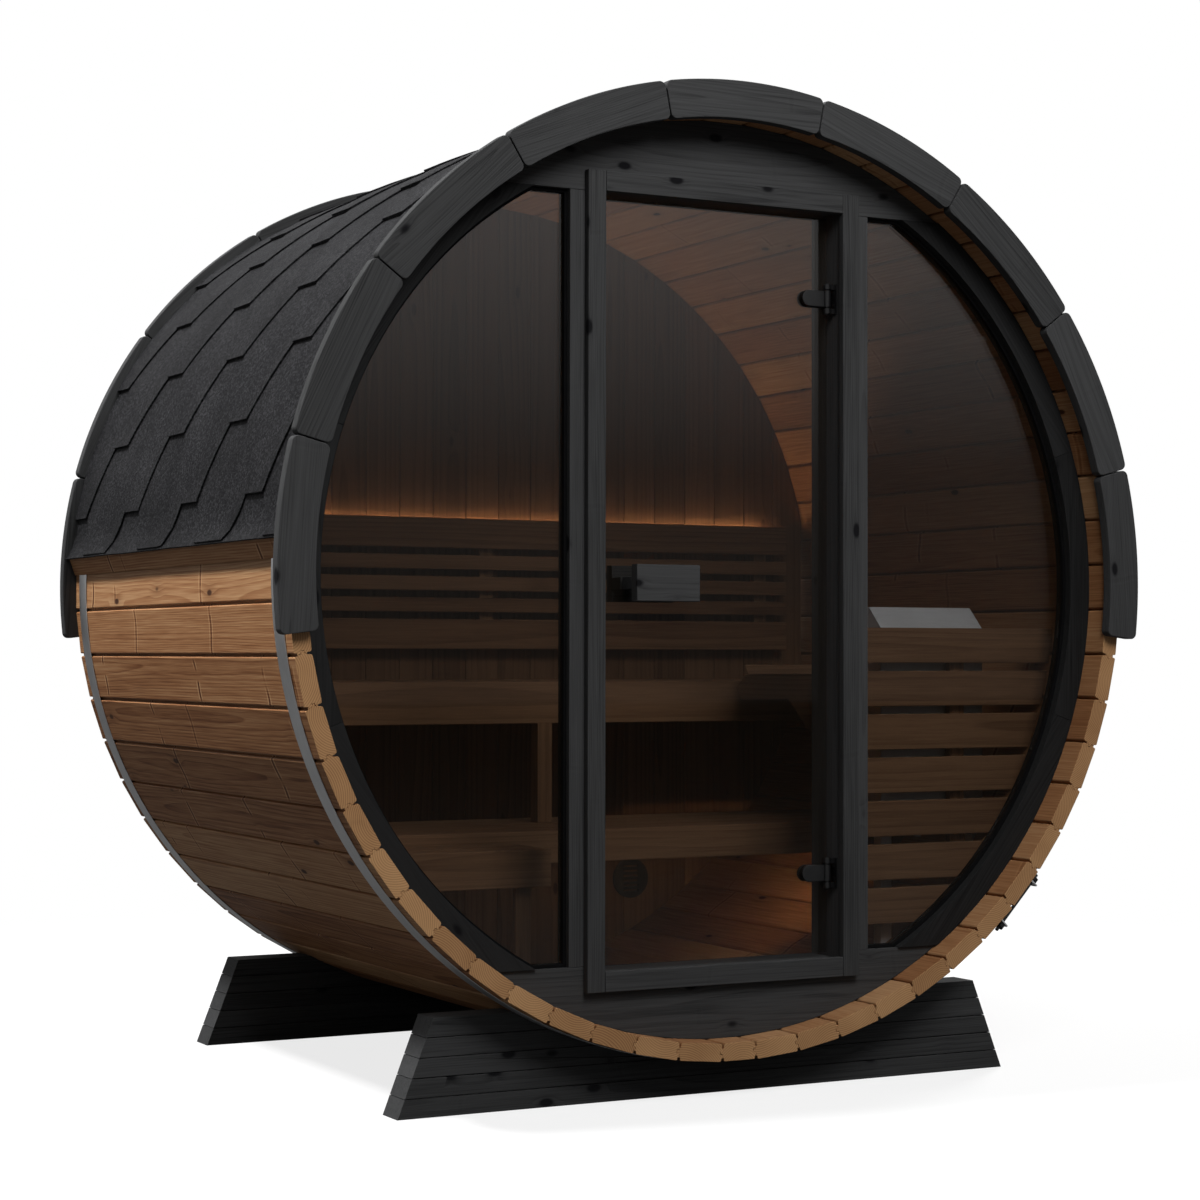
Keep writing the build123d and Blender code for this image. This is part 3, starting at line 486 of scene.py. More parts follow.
# lamp strip: a warm glow, a little uneven along it, sent up by the wall strip and back by the floor strip
def lampLook(name):
    look, start = newLook(name)
    spot = start.spot()
    across, facing = spot.part(0), start.node("ShaderNodeNewGeometry", out=1).part(1)
    onWall = across.twin(2).step(*strip["wallLevel"])
    upward = facing.twin(2).step(*strip["facing"]) * onWall
    rearward = facing.step(*strip["facing"]) * (1.0 - onWall)
    share = rearward * across.step(strip["fadeTo"], strip["fadeFrom"]) * strip["floorShare"] + upward
    stops = tintStops(strip["tint"], strip["darkAt"], strip["darkShare"], strip["tintAt"])
    glow = spot.stretch(strip["beads"], 0, 0).noise(1.0, 0.0).ramp(stops)
    glow = glow.node("ShaderNodeVectorMath", {"operation": "SCALE"}, {0: glow, 3: share})
    start.feed({"Emission Color": glow, "Emission Strength": strip["strength"],
                "Base Color": (*strip["tint"], 1)})
    return look


looks.update({
    "shingle": shingleLook(),
    "strap_steel": steelLook("strapSteel", (0.84, 0.845, 0.855), (40, 900, 40), 0.36),
    "heater_steel": steelLook("heaterSteel", (0.74, 0.745, 0.755), (12, 600, 12), 0.4, 0.15),
    "black_metal": coatLook("blackHardware", (0.007, 0.007, 0.0075), 0.34),
    "gasket_rubber": coatLook("gasketRubber", (0.004, 0.004, 0.0043), 0.7, 0.1),
    "window_tint": paneLook("windowPane"), "door_tint": paneLook("doorPane"), "lamp": lampLook("warmStrip"),
})
print("other finishes made")

# staves: tongued boards round the axis, with a square groove outside and a thin slot inside, in even groups
stave = {"grooveDepth": 0.007, "grooveHalf": 0.0032, "innerBevel": 0.0045, "bevelKnee": 0.3, "slot": 0.010,
         "slotHalf": 0.0021, "endEase": 0.0008, "lipRound": 0.0032, "lipSteps": 4, "tongue": 0.006,
         "tongueHalf": 0.0045, "tongueTip": 0.7, "tonguePlay": 0.0005, "jointHalf": 0.0002, "wander": 0.0006,
         "firstGroup": 210.0,
         "groups": ("lower_left", "upper_left", "top", "upper_right", "lower_right", "bottom")}


# section of one stave: both edges lean on the joint planes, with a rounded lip, the groove, and one tongue
def staveSection(angle):
    lean = math.tan(math.radians(angle / 2))
    outer, inner, lip = barrel["outer"], staveInner, stave["lipRound"]
    middle, floorAt = (outer + inner) / 2, outer - stave["grooveDepth"]

    # the joint plane at a height: height times the lean, less half the joint
    def edgeAt(height):
        return height * lean - stave["jointHalf"]

    # a step out from the joint plane, or into it, narrower at its tip
    def tongueStep(reach, play):
        half, tip = stave["tongueHalf"], edgeAt(middle) + reach
        return [(edgeAt(middle + half), middle + half + play), (tip, middle + stave["tongueTip"] * half),
                (tip, middle - stave["tongueTip"] * half), (edgeAt(middle - half), middle - half - play)]

    shoulder = edgeAt(outer) - stave["grooveHalf"]
    top = [*arcPoints(lip, 0, math.pi / 2, stave["lipSteps"], (shoulder - lip, outer - lip)),
           (shoulder, floorAt), (edgeAt(floorAt), floorAt)]
    bevel, half, slotTop = stave["innerBevel"], stave["slotHalf"], inner + stave["slot"]
    knee = stave["bevelKnee"] * bevel
    foot = [(edgeAt(slotTop), slotTop), (edgeAt(slotTop) - half, slotTop),
            (edgeAt(inner + bevel) - half, inner + bevel), (edgeAt(inner) - half - knee, inner + knee),
            (edgeAt(inner) - half - bevel, inner)]
    play = stave["tonguePlay"]
    rightSide = np.array(top + tongueStep(stave["tongue"], 0) + foot)
    leftSide = np.array(top + tongueStep(-stave["tongue"] - play, play) + foot)[::-1] * [-1, 1]
    return np.concatenate([rightSide, leftSide])


staveAngle = 360 / (barrel["fullStaves"] + barrel["closingShare"])
closingAngle = staveAngle * barrel["closingShare"]
stavePlaces = [(180.0, closingAngle)] + [
    (180.0 + closingAngle / 2 + (k + 0.5) * staveAngle, staveAngle) for k in range(barrel["fullStaves"])]
for number, group in enumerate(stave["groups"]):
    for seed, (clock, angle) in enumerate(stavePlaces):
        if int((clock - stave["firstGroup"]) % 360 // (360 / len(stave["groups"]))) == number:
            axes = clockAxes(clock)
            lift = np.random.default_rng(900 + seed).uniform(-1, 0) * stave["wander"]
            addBoard(staveSection(angle), barrel["length"], stave["endEase"],
                     axes[1] * lift + [0, rearEnd, axisHeight], axes, "z", 20 + seed)
    place("stave_" + group, "thermo_wood", ["staves_" + group], sharpAngle=50)
print("staves made")

# straps: thin bands round the staves, whose ends fold up into lugs held by a screw and nuts; a nut is given
# by places along its axis with radii
strap = {"inner": 1.01525, "thick": 0.0015, "width": 0.052, "inset": 0.034, "gapStart": 130.0,
         "gapEnd": 136.5, "easeShare": 0.4, "steps": 220, "lugHeight": 0.048, "lugWide": 0.02,
         "lugThick": 0.004, "lugEdge": 0.0008, "screwLift": 0.036, "screwTail": 0.018, "screwRadius": 0.004,
         "screwEase": 0.001, "screwSides": 16, "nutSides": 6,
         "nut": [(0, 0.0102), (0.001, 0.011), (0.0085, 0.011), (0.01, 0.0092)]}
strapOuter = strap["inner"] + strap["thick"]


# band section carried round the clock: four corners at each angle, softened at the outer edges
def addBand(low, high):
    ease, inner = strap["thick"] * strap["easeShare"], strap["inner"]
    radius = np.array([inner, inner, strapOuter - ease, strapOuter, strapOuter, strapOuter - ease])
    along = np.array([low, high, high, high - ease, low + ease, low])
    turn = np.radians(np.linspace(strap["gapEnd"] - 360, strap["gapStart"], strap["steps"]))[:, None]
    verts = np.stack([radius * np.sin(turn), along + 0 * turn, axisHeight + radius * np.cos(turn)], 2)
    drop(verts.reshape(-1, 3), cappedFaces(strap["steps"], len(radius)))


strapMiddle = rearEnd - strap["inset"] - strap["width"] / 2
half = strap["lugThick"] / 2
lug = rectangle(-half, 0, half, strap["lugHeight"] + strap["thick"])
for name, middle in (("front", -strapMiddle), ("rear", strapMiddle)):
    addBand(middle - strap["width"] / 2, middle + strap["width"] / 2)
    for clock in (strap["gapStart"], strap["gapEnd"]):
        axes = clockAxes(clock)
        lugAt = axes[1] * strap["inner"] + [0, middle + strap["lugWide"] / 2, axisHeight]
        addBoard(lug, strap["lugWide"], strap["lugEdge"], lugAt, axes)
    place("hoop_" + name, "strap_steel", ["strap_" + name])
rim, out, _ = clockAxes((strap["gapStart"] + strap["gapEnd"]) / 2)
half = math.radians((strap["gapEnd"] - strap["gapStart"]) / 2)
lift = strapOuter + strap["screwLift"]
reach = lift * math.sin(half) + strap["lugThick"]
end, radius, ease = reach + strap["screwTail"], strap["screwRadius"], strap["screwEase"]
screw = [(-end - ease, radius - ease), (-end, radius), (end, radius), (end + ease, radius - ease)]
for middle in (-strapMiddle, strapMiddle):
    centre = out * lift * math.cos(half) + [0, middle, axisHeight]
    addTurned(screw, centre, rim, strap["screwSides"])
    for side in (-1, 1):
        addTurned(strap["nut"], centre + rim * side * reach, rim * side, strap["nutSides"])
place("tension_screws", "black_metal", ["strap_tensioners"], sharpAngle=30)

# cradles: five stacked boards, each cut to the barrel above and to the slanted ends
cradle = {"inset": 0.088, "rearInset": 0.104, "thick": 0.076, "bottom": 1.486, "top": 1.330, "height": 0.200,
          "boards": 5, "seat": 1.0125, "edge": 0.0016, "joint": 0.0007, "floorPlay": 0.0002, "arcSteps": 14}


# a cradle board lies between two heights: slanted ends, and a hollow where the barrel dips into it
def addCradle(front, seed):
    rise = cradle["height"] / cradle["boards"]
    for k in range(cradle["boards"]):
        low = k * rise + (cradle["joint"] if k else cradle["floorPlay"])
        high = (k + 1) * rise - cradle["joint"]
        foot, head = [(cradle["bottom"] + (cradle["top"] - cradle["bottom"]) * h / cradle["height"]) / 2
                      for h in (low, high)]
        narrow, wide = [math.sqrt(max(cradle["seat"] ** 2 - (axisHeight - h) ** 2, 0)) for h in (low, high)]
        arc = np.linspace(wide, narrow, cradle["arcSteps"])
        curve = np.stack([arc, axisHeight - np.sqrt(cradle["seat"] ** 2 - arc ** 2)], 1)
        if wide == 0:
            outlines = [[(-foot, low), (foot, low), (head, high), (-head, high)]]
        elif narrow == 0:
            outlines = [np.concatenate([[(-foot, low), (foot, low), (head, high)], curve,
                                        curve[-2::-1] * [-1, 1], [(-head, high)]])]
        else:
            side = np.concatenate([[(foot, low), (head, high)], curve])
            outlines = [side, side[::-1] * [-1, 1]]
        for n, outline in enumerate(outlines):
            addUpright(outline, front, front + cradle["thick"], cradle["edge"], seed=seed + 3 * k + n)


for name, front, seed in (("front", cradle["inset"], 300),
                          ("rear", barrel["length"] - cradle["rearInset"] - cradle["thick"], 340)):
    addCradle(front, seed)
    place("stand_" + name, "black_wood", ["cradle_" + name])
print("straps and cradles made")

# fascia: nine curved boards at each end, sawn from straight planks, with rounded corners
fascia = {"inner": 0.966, "outer": 1.0467, "thick": 0.027, "end": 97.0, "boards": 9, "gap": 0.0022,
          "corner": 0.013, "edge": 0.0032, "arcSteps": 24, "cornerSteps": 6}


# a fascia board in its own chord frame: outer arc, inner arc, and a rounded corner at each end;
# a corner's centre stands one corner radius off both the arc and the end line
def fasciaOutline(halfAngle):
    corner, steps = fascia["corner"], fascia["cornerSteps"]
    out, low = fascia["outer"] - corner, fascia["inner"] + corner
    outTurn, lowTurn = [halfAngle - math.asin(corner / radius) for radius in (out, low)]
    end = halfAngle + math.pi / 2
    right = np.concatenate([
        arcPoints(corner, outTurn, end, steps, (out * math.sin(outTurn), out * math.cos(outTurn))),
        arcPoints(corner, end, lowTurn + math.pi, steps, (low * math.sin(lowTurn), low * math.cos(lowTurn)))])
    return np.concatenate([
        right, arcPoints(fascia["inner"], lowTurn, -lowTurn, fascia["arcSteps"])[1:-1], right[::-1] * [-1, 1],
        arcPoints(fascia["outer"], -outTurn, outTurn, fascia["arcSteps"])[1:-1]])


pitch = 2 * fascia["end"] / fascia["boards"]
outline = fasciaOutline(math.radians(pitch / 2) - fascia["gap"] / 2 / fascia["outer"])
for name, front, seed in (("front", -fascia["thick"], 400), ("rear", barrel["length"], 420)):
    for k in range(fascia["boards"]):
        addUpright(outline, front, front + fascia["thick"], fascia["edge"], axisHeight,
                   clockAxes((k + 0.5) * pitch - fascia["end"]), seed=seed + k)
    place("rim_" + name, "black_wood", ["fascia_" + name])
print("fascia made")

# roof: courses of six-sided shingle tabs over the curve, each lying on the one below, on an underlay
roof = {"base": 1.0172, "thick": 0.004, "flare": 7.5, "eaveReach": 1.045, "eaveRise": 0.064, "eaveLaps": 3,
        "course": 0.1638, "firstStep": 0.098, "firstCourse": -2, "ridgeClear": 0.03, "period": 0.3915,
        "flat": 0.1075, "slant": 0.0885, "phase": -0.1164, "tabsEachWay": 4, "curl": 0.0006, "drip": 0.004,
        "rows": 12, "columns": 60, "waves": 24, "toneSpread": 0.12, "underlayShare": 0.95,
        "underlayEdge": 0.0003, "underlaySteps": 90}


# the roof line from the eave up: a bend outwards that is tangent to the barrel's circle, then the circle;
# gives places and outward directions across the barrel for distances along the line, and the bend's length
def roofLine(distance):
    base, flare = roof["base"], math.radians(roof["flare"])
    out, down = np.array([math.cos(flare), math.sin(flare)]), np.array([math.sin(flare), -math.cos(flare)])
    join = out * base
    tip = np.array([roof["eaveReach"] - roof["eaveLaps"] * roof["thick"], roof["eaveRise"]])
    chord = tip - join
    bend = chord @ chord / (2 * chord @ out)
    hub = join + out * bend
    length = bend * math.acos(np.clip((tip - hub) @ (-out) / bend, -1, 1))
    distance = np.asarray(distance, float)
    turn = np.maximum((length - distance) / bend, 0)[..., None]
    bendOut = out * np.cos(turn) - down * np.sin(turn)
    angle = flare + (distance - length) / base
    ring = np.stack([np.cos(angle), np.sin(angle)], -1)
    below = (distance < length)[..., None]
    return np.where(below, hub - bend * bendOut, ring * base), np.where(below, bendOut, ring), length


# one course: flat tab bottoms, slanted sides and flat cut-out tops in turn along its lower edge, lifted by
# one thickness for each course below it
def addCourse(number, side, topLimit):
    period, course, thick, half = roof["period"], roof["course"], roof["thick"], roof["flat"] / 2
    shift = roof["phase"] + (number % 2) * period / 2
    far = half + roof["slant"]
    tabs = np.arange(-roof["tabsEachWay"], roof["tabsEachWay"] + 1)[:, None]
    corners = (shift + tabs * period + [-far, -half, half, far]).ravel()
    corners = corners[(corners > frontEnd) & (corners < rearEnd)]
    y = np.unique(np.concatenate([corners, np.linspace(frontEnd, rearEnd, roof["columns"])]).round(6))
    offTab = np.abs((y - shift + period / 2) % period - period / 2)
    bottom = roof["firstStep"] + number * course
    start = bottom + np.clip((offTab - half) / roof["slant"], 0, 1) * course
    start = np.maximum(start, 0.0 if number > roof["firstCourse"] else -roof["drip"])
    end = min(bottom + 2 * course, topLimit)
    share = np.linspace(0, 1, roof["rows"])[:, None]
    along = start + (end - start) * share
    pick = np.random.default_rng(270 + number + 100 * side)
    wave = pick.uniform(-1, 1, roof["waves"]) * roof["curl"]
    wave = np.interp(y, np.linspace(frontEnd, rearEnd, roof["waves"]), wave)
    under = thick * (bottom + 2 * course - along) / course + wave * (1 - share)
    spot, out, _ = roofLine(along)
    edge = spot[0] + out[0] * under[0][:, None]
    rows = np.concatenate([edge[None], spot + out * (under + thick)[..., None]])
    verts = np.stack([rows[..., 0] * side, np.broadcast_to(y, rows.shape[:2]), rows[..., 1] + axisHeight], 2)
    faces = quadGrid(roof["rows"] + 1, len(y), False)[:, ::side]
    drop(verts.reshape(-1, 3), faces, tone=0.5 + roof["toneSpread"] * pick.uniform(-1, 1))


flareLength = roofLine([0.0])[2]
ridgeAt = flareLength + math.radians(90 - roof["flare"]) * roof["base"]
for name, side in sides:
    spot, out, _ = roofLine(np.linspace(0, ridgeAt, roof["underlaySteps"]))
    outline = np.concatenate([spot, (spot + out * roof["thick"] * roof["underlayShare"])[::-1]])
    addUpright(outline * [side, 1], 0, barrel["length"], roof["underlayEdge"], axisHeight)
    number = roof["firstCourse"]
    while roof["firstStep"] + number * roof["course"] < ridgeAt - roof["ridgeClear"]:
        addCourse(number, side, ridgeAt)
        number += 1
    place("shingles_" + name, "shingle", ["roof_" + name], sharpAngle=25)

# ridge caps: short pieces bent over the top, each lapping the one before
ridge = {"width": 0.26, "step": 0.145, "length": 0.2, "thick": 0.003, "lift": 0.0068, "frontPlay": 0.002,
         "rearPlay": 0.001, "columns": 14, "rows": 4, "toneSpread": 0.1, "toneTurn": 7}
turn = np.linspace(-0.5, 0.5, ridge["columns"]) * ridge["width"] / roof["base"]
bend = np.concatenate([turn, turn[::-1]])
below = np.repeat([0.0, ridge["thick"]], ridge["columns"])
for k in range(int(barrel["length"] / ridge["step"])):
    first = frontEnd + ridge["frontPlay"] + k * ridge["step"]
    y = np.linspace(first, min(first + ridge["length"], rearEnd - ridge["rearPlay"]), ridge["rows"])[:, None]
    radius = roof["base"] + ridge["lift"] + ridge["thick"] * (1 - (y - first) / ridge["length"]) - below
    rows = np.stack([radius * np.sin(bend), y + 0 * bend, axisHeight + radius * np.cos(bend)], 2)
    drop(rows.reshape(-1, 3), cappedFaces(ridge["rows"], len(bend)),
         tone=0.5 + ridge["toneSpread"] * math.sin(ridge["toneTurn"] * k))
place("ridge_caps", "shingle", sharpAngle=25)
print("roof made")

# eave strips: long three-cornered battens under the roof's edge
eave = {"foot": 1.4, "trim": 0.021, "play": 0.0004, "endPlay": 0.0003, "edge": 0.0008, "seatSteps": 10,
        "bendSteps": 80, "bendEvery": 6}
eaveTop = roof["base"] * math.sin(math.radians(roof["flare"])) - eave["trim"]
seatLine = arcPoints(roof["base"], math.radians(eave["foot"]), math.asin(eaveTop / roof["base"]),
                     eave["seatSteps"])[:, ::-1]
spot, out, _ = roofLine(np.linspace(flareLength, 0.0, eave["bendSteps"]))
bendLine = (spot - out * eave["play"])[spot[:, 1] < eaveTop][::eave["bendEvery"]]
outline = np.concatenate([seatLine, bendLine])
for name, side in sides:
    addUpright(outline * [side, 1], eave["endPlay"], barrel["length"] - eave["endPlay"], eave["edge"],
               axisHeight, grain="z", seed=500 + side)
    place("eave_batten_" + name, "thermo_wood", ["eave_strip_" + name])
print("eave strips made")

# front wall: round panels above and below the glazing, posts beside the door and rings round the windows;
# front and back are measured from the barrel's front end, here and for all that follows
wall = {"front": 0.068, "thick": 0.045, "windowLow": 0.28604, "windowHigh": 1.89596, "side": 0.369,
        "ringInner": 0.922, "ringProud": 0.007, "ringBoards": 3, "ringJoint": 0.0002, "edge": 0.0016,
        "pith": (0.12, 0.2), "panelSteps": 60, "ringSteps": 30}
# door surround: the lining in the opening, and the raised trim with rounded edges in front of it
lining = {"half": 0.297, "low": 0.27101, "high": 1.89898, "width": 0.025, "front": 0.068, "back": 0.185,
          "edge": 0.0012}
trim = {"half": 0.293, "low": 0.27501, "high": 1.89498, "width": 0.042, "front": 0.050, "back": 0.068,
        "edge": 0.0022}
wallBack = wall["front"] + wall["thick"]
openHalf = lining["half"] + lining["width"] + seatGap
# panels: an arc of the inside circle closed by a level line with a notch for the lining
for name, side, level, cut, seed in (
        ("top", 1, wall["windowHigh"], lining["high"] + lining["width"] + seatGap, 615),
        ("bottom", -1, wall["windowLow"], lining["low"] - lining["width"] - seatGap, 618)):
    turn = math.acos(abs(level - axisHeight) / insideFit)
    arc = arcPoints(insideFit, -turn, turn, wall["panelSteps"]) * [1, side] + [0, axisHeight]
    notch = [[openHalf, level], [openHalf, cut], [-openHalf, cut], [-openHalf, level]]
    addUpright(np.concatenate([arc, notch]), wall["front"], wallBack, wall["edge"], seed=seed,
               pith=wall["pith"])
    place("gable_" + name, "black_wood", ["front_panel_" + name])

low, high = wall["windowLow"] + seatGap, wall["windowHigh"] - seatGap
for name, side in sides:
    ends = sorted([side * openHalf, side * wall["side"]])
    addBlock([ends[0], wall["front"], low], [ends[1], wallBack, high], wall["edge"], 620 + side)
    place("jamb_" + name, "black_wood", ["front_post_" + name])
    # ring boards: the end boards are cut level, the joints between boards are radial
    starts, stops = [[math.acos((level - axisHeight) / radius) for radius in (insideFit, wall["ringInner"])]
                     for level in (high, low)]
    joints = np.linspace(starts[0], stops[0], wall["ringBoards"] + 1)
    for k in range(wall["ringBoards"]):
        first = starts if k == 0 else [joints[k]] * 2
        last = stops if k == wall["ringBoards"] - 1 else [joints[k + 1] - wall["ringJoint"]] * 2
        middle = (first[0] + last[0]) / 2
        outline = np.concatenate([
            arcPoints(insideFit, first[0] - middle, last[0] - middle, wall["ringSteps"]),
            arcPoints(wall["ringInner"], last[1] - middle, first[1] - middle, wall["ringSteps"])])
        addUpright(outline * [side, 1], wall["front"] - wall["ringProud"], wallBack, wall["edge"], axisHeight,
                   clockAxes(math.degrees(middle) * side), seed=640 + k + 10 * side)
    # the window rings take the darker copy of the black wood, with painted shade
    place("window_rim_" + name, "black_wood", ["window_ring_" + name], look="shaded_rim_wood")

# surround boards: two uprights that run past the rail at each end
for name, node, part, postSeed, railSeed in (("door_frame", "door_lining", lining, 660, 664),
                                             ("door_casing", "door_trim", trim, 670, 675)):
    half, width, front, back = part["half"], part["width"], part["front"], part["back"]
    low, high = part["low"] - width, part["high"] + width
    for side in (-1, 1):
        ends = sorted([side * half, side * (half + width)])
        addBlock([ends[0], front, low], [ends[1], back, high], part["edge"], postSeed + side)
    for k, level in enumerate((low, part["high"])):
        addBlock([seatGap - half, front, level], [half - seatGap, back, level + width], part["edge"],
                 railSeed + k)
    place(name, "black_wood", [node])
print("front wall made")

# door: a wooden handle on a stem on both faces of the glass
door = {"glassFront": 0.101, "glassBack": 0.109, "left": -0.227, "level": 1.081, "gripWide": 0.152,
        "gripThick": 0.026, "gripHigh": 0.077, "gripEdge": 0.003, "stemWide": 0.046, "stemLong": 0.039,
        "stemHigh": 0.026, "stemEdge": 0.0015}
frontStem = door["glassFront"] - door["stemLong"]
for k, (gripAt, stemAt) in enumerate(((frontStem - door["gripThick"], frontStem),
                                      (door["glassBack"] + door["stemLong"], door["glassBack"]))):
    for at, wide, thick, high, edge, seed in (
            (gripAt, door["gripWide"], door["gripThick"], door["gripHigh"], door["gripEdge"], 690 + k),
            (stemAt, door["stemWide"], door["stemLong"], door["stemHigh"], door["stemEdge"], 695 + k)):
        addBlock([door["left"], at, door["level"] - high / 2],
                 [door["left"] + wide, at + thick, door["level"] + high / 2], edge, seed)
place("door_pull", "black_wood", ["door_handle"], body="door")

# hinges: clamp plates on both faces of the glass, each given by front, back and straight end, with a bridge
# and a knuckle turn on a pin in the arms of a leaf; bridge, leaf and arm are given by the corners of their
# plans, pin and screw by places along the axis with radii
hinge = {"levels": {"upper": 1.711, "lower": 0.45499}, "pinAcross": 0.278, "pinDepth": 0.092, "half": 0.018,
         "noseAt": 0.2323, "noseSteps": 14, "plates": ((0.091, 0.1008, 0.2715), (0.1092, 0.117, 0.2883)),
         "plateEdge": 0.0022, "bridge": ((0.2836, 0.0975), (0.2883, 0.117)), "bridgeEdge": 0.0008,
         "bore": 0.0042, "armBore": 0.0041, "knuckle": 0.008, "knuckleEase": 0.0008,
         "leaf": ((0.294, 0.080), (0.297, 0.104)), "leafHalf": 0.0325, "leafEdge": 0.0006,
         "pin": [(-0.0345, 0.0034), (-0.034, 0.004), (0.034, 0.004), (0.0345, 0.0034)],
         "arm": ((0.2855, 0.087), (0.2942, 0.097)), "armAt": 0.0265, "armHalf": 0.006, "armTrim": 0.0006,
         "armEdge": 0.0004, "screw": [(0, 0.0042), (0.0008, 0.004), (0.0012, 0.0028)], "screwAt": 0.013,
         "knuckleSides": 28, "pinSides": 20, "screwSides": 16}


# a knuckle round the pin: a tube between two heights, its outer edges eased
def addKnuckle(low, high, bore, pinAt):
    outer, ease = hinge["knuckle"], hinge["knuckleEase"]
    section = [(low, bore), (low, outer - ease), (low + ease, outer), (high - ease, outer),
               (high, outer - ease), (high, bore)]
    addTurned(section, pinAt, zAxis, hinge["knuckleSides"], hollow=True)


# a block between two heights over the corners of its plan
def addPost(plan, low, high, edge):
    addBlock([*plan[0], low], [*plan[1], high], edge)


for name, level in hinge["levels"].items():
    pinAt, half = np.array([hinge["pinAcross"], frontEnd + hinge["pinDepth"], level]), hinge["half"]
    nose = arcPoints(half, math.pi, 2 * math.pi, hinge["noseSteps"], (hinge["noseAt"], 0))
    for front, back, end in hinge["plates"]:
        outline = np.concatenate([nose, [[end, half], [end, -half]]])
        addUpright(outline, front, back, hinge["plateEdge"], level)
    addPost(hinge["bridge"], level - half, level + half, hinge["bridgeEdge"])
    addKnuckle(-half, half, hinge["bore"], pinAt)
    place("hinge_grip_" + name, "black_metal", ["hinge_clamp_" + name], body="door", sharpAngle=35)
    addPost(hinge["leaf"], level - hinge["leafHalf"], level + hinge["leafHalf"], hinge["leafEdge"])
    addTurned(hinge["pin"], pinAt, zAxis, hinge["pinSides"])
    for side in (-1, 1):
        low, high = hinge["armAt"] * side - hinge["armHalf"], hinge["armAt"] * side + hinge["armHalf"]
        addKnuckle(low, high, hinge["armBore"], pinAt)
        addPost(hinge["arm"], level + low + hinge["armTrim"], level + high - hinge["armTrim"],
                hinge["armEdge"])
        screwAt = [hinge["leaf"][0][0], pinAt[1], level + hinge["screwAt"] * side]
        addTurned(hinge["screw"], screwAt, -xAxis, hinge["screwSides"])
    place("hinge_bracket_" + name, "black_metal", ["hinge_leaf_" + name], sharpAngle=35)
print("door fittings made")

# panes: half moons in their gaskets, and the door's plate with ground edges, given by its corners
pane = {"thick": 0.008, "setback": 0.020, "gasket": 0.007, "gasketDepth": 0.024, "ground": 0.0008,
        "doorPlate": (-0.287, 0.28101, 0.283, 1.88898), "arcSteps": 90}


# half moon beside the door: the ring's inner circle cut by two level lines and an upright one, all drawn in
def moonOutline(inset):
    radius, left = wall["ringInner"] - inset, wall["side"] + inset
    low, high = wall["windowLow"] + inset - axisHeight, wall["windowHigh"] - inset - axisHeight
    arc = arcPoints(radius, math.acos(high / radius), math.acos(low / radius), pane["arcSteps"])
    return np.concatenate([arc, [[left, low], [left, high]]]) + [0, axisHeight]


paneFront = wall["front"] + pane["setback"]
paneBack = paneFront + pane["thick"]
for name, side in sides:
    addUpright(moonOutline(pane["gasket"] + 2 * seatGap) * [side, 1], paneFront, paneBack, pane["ground"])
    place("moon_pane_" + name, "window_tint", ["window_glass_" + name])

# gaskets: the half moon's outline carried as a square bead, closed round the pane
beadFront, beadBack = [frontEnd + (paneFront + paneBack + reach) / 2
                       for reach in (-pane["gasketDepth"], pane["gasketDepth"])]
outside, inside = moonOutline(seatGap), moonOutline(seatGap + pane["gasket"])
for side in (1, -1):
    rows = np.stack([np.stack([loop[:, 0] * side, np.full(len(loop), y), loop[:, 1]], 1) for loop, y in (
        (outside, beadFront), (inside, beadFront), (inside, beadBack), (outside, beadBack))])
    drop(rows.reshape(-1, 3), loopFaces(len(rows), len(outside))[:, ::side])
place("pane_beads", "gasket_rubber", ["window_gaskets"])

addUpright(rectangle(*pane["doorPlate"]), door["glassFront"], door["glassBack"], pane["ground"])
place("door_pane", "door_tint", ["door_glass"], body="door")
print("panes made")

# rear wall: upright planks with a rounded groove at each joint, cut round to the staves
planks = {"front": 1.264, "back": 1.302, "wide": 0.091, "edge": 0.004, "steps": 9, "roundShare": 0.9995}
plankCount = int(staveInner // planks["wide"])
for k in range(-plankCount, plankCount + 1):
    x = np.linspace((k - 0.5) * planks["wide"], (k + 0.5) * planks["wide"], planks["steps"])
    x = x[np.abs(x) < insideFit * planks["roundShare"]]
    if len(x) > 2:
        rise = chordAt(x)
        low, high = np.stack([x, axisHeight - rise], 1), np.stack([x, axisHeight + rise], 1)
        outline = np.concatenate([low, high[::-1]])
        addUpright(outline, planks["front"], planks["back"], planks["edge"], grain="y", seed=720 + k)
place("back_planks", "wall_wood", ["rear_wall"])


# a board across the barrel between two heights, its ends cut to the staves unless a side limit is nearer
def addAcross(low, high, front, back, edge, seed, left=-2.0, right=2.0, levels=5):
    level = np.linspace(low, high, levels)
    reach = chordAt(level - axisHeight) - cutPlay
    outline = np.concatenate([np.stack([np.minimum(reach, right), level], 1),
                              np.stack([np.maximum(-reach, left), level], 1)[::-1]])
    addUpright(outline, front, back, edge, seed=seed)


# an upright between two widths that stands on the curve of the staves
def addLeg(left, right, top, front, back, seed, edge=0.002):
    feet = [(x, axisHeight - chordAt(x) + cutPlay) for x in (left, right)]
    addUpright(feet + [(right, top), (left, top)], front, back, edge, grain="y", seed=seed)


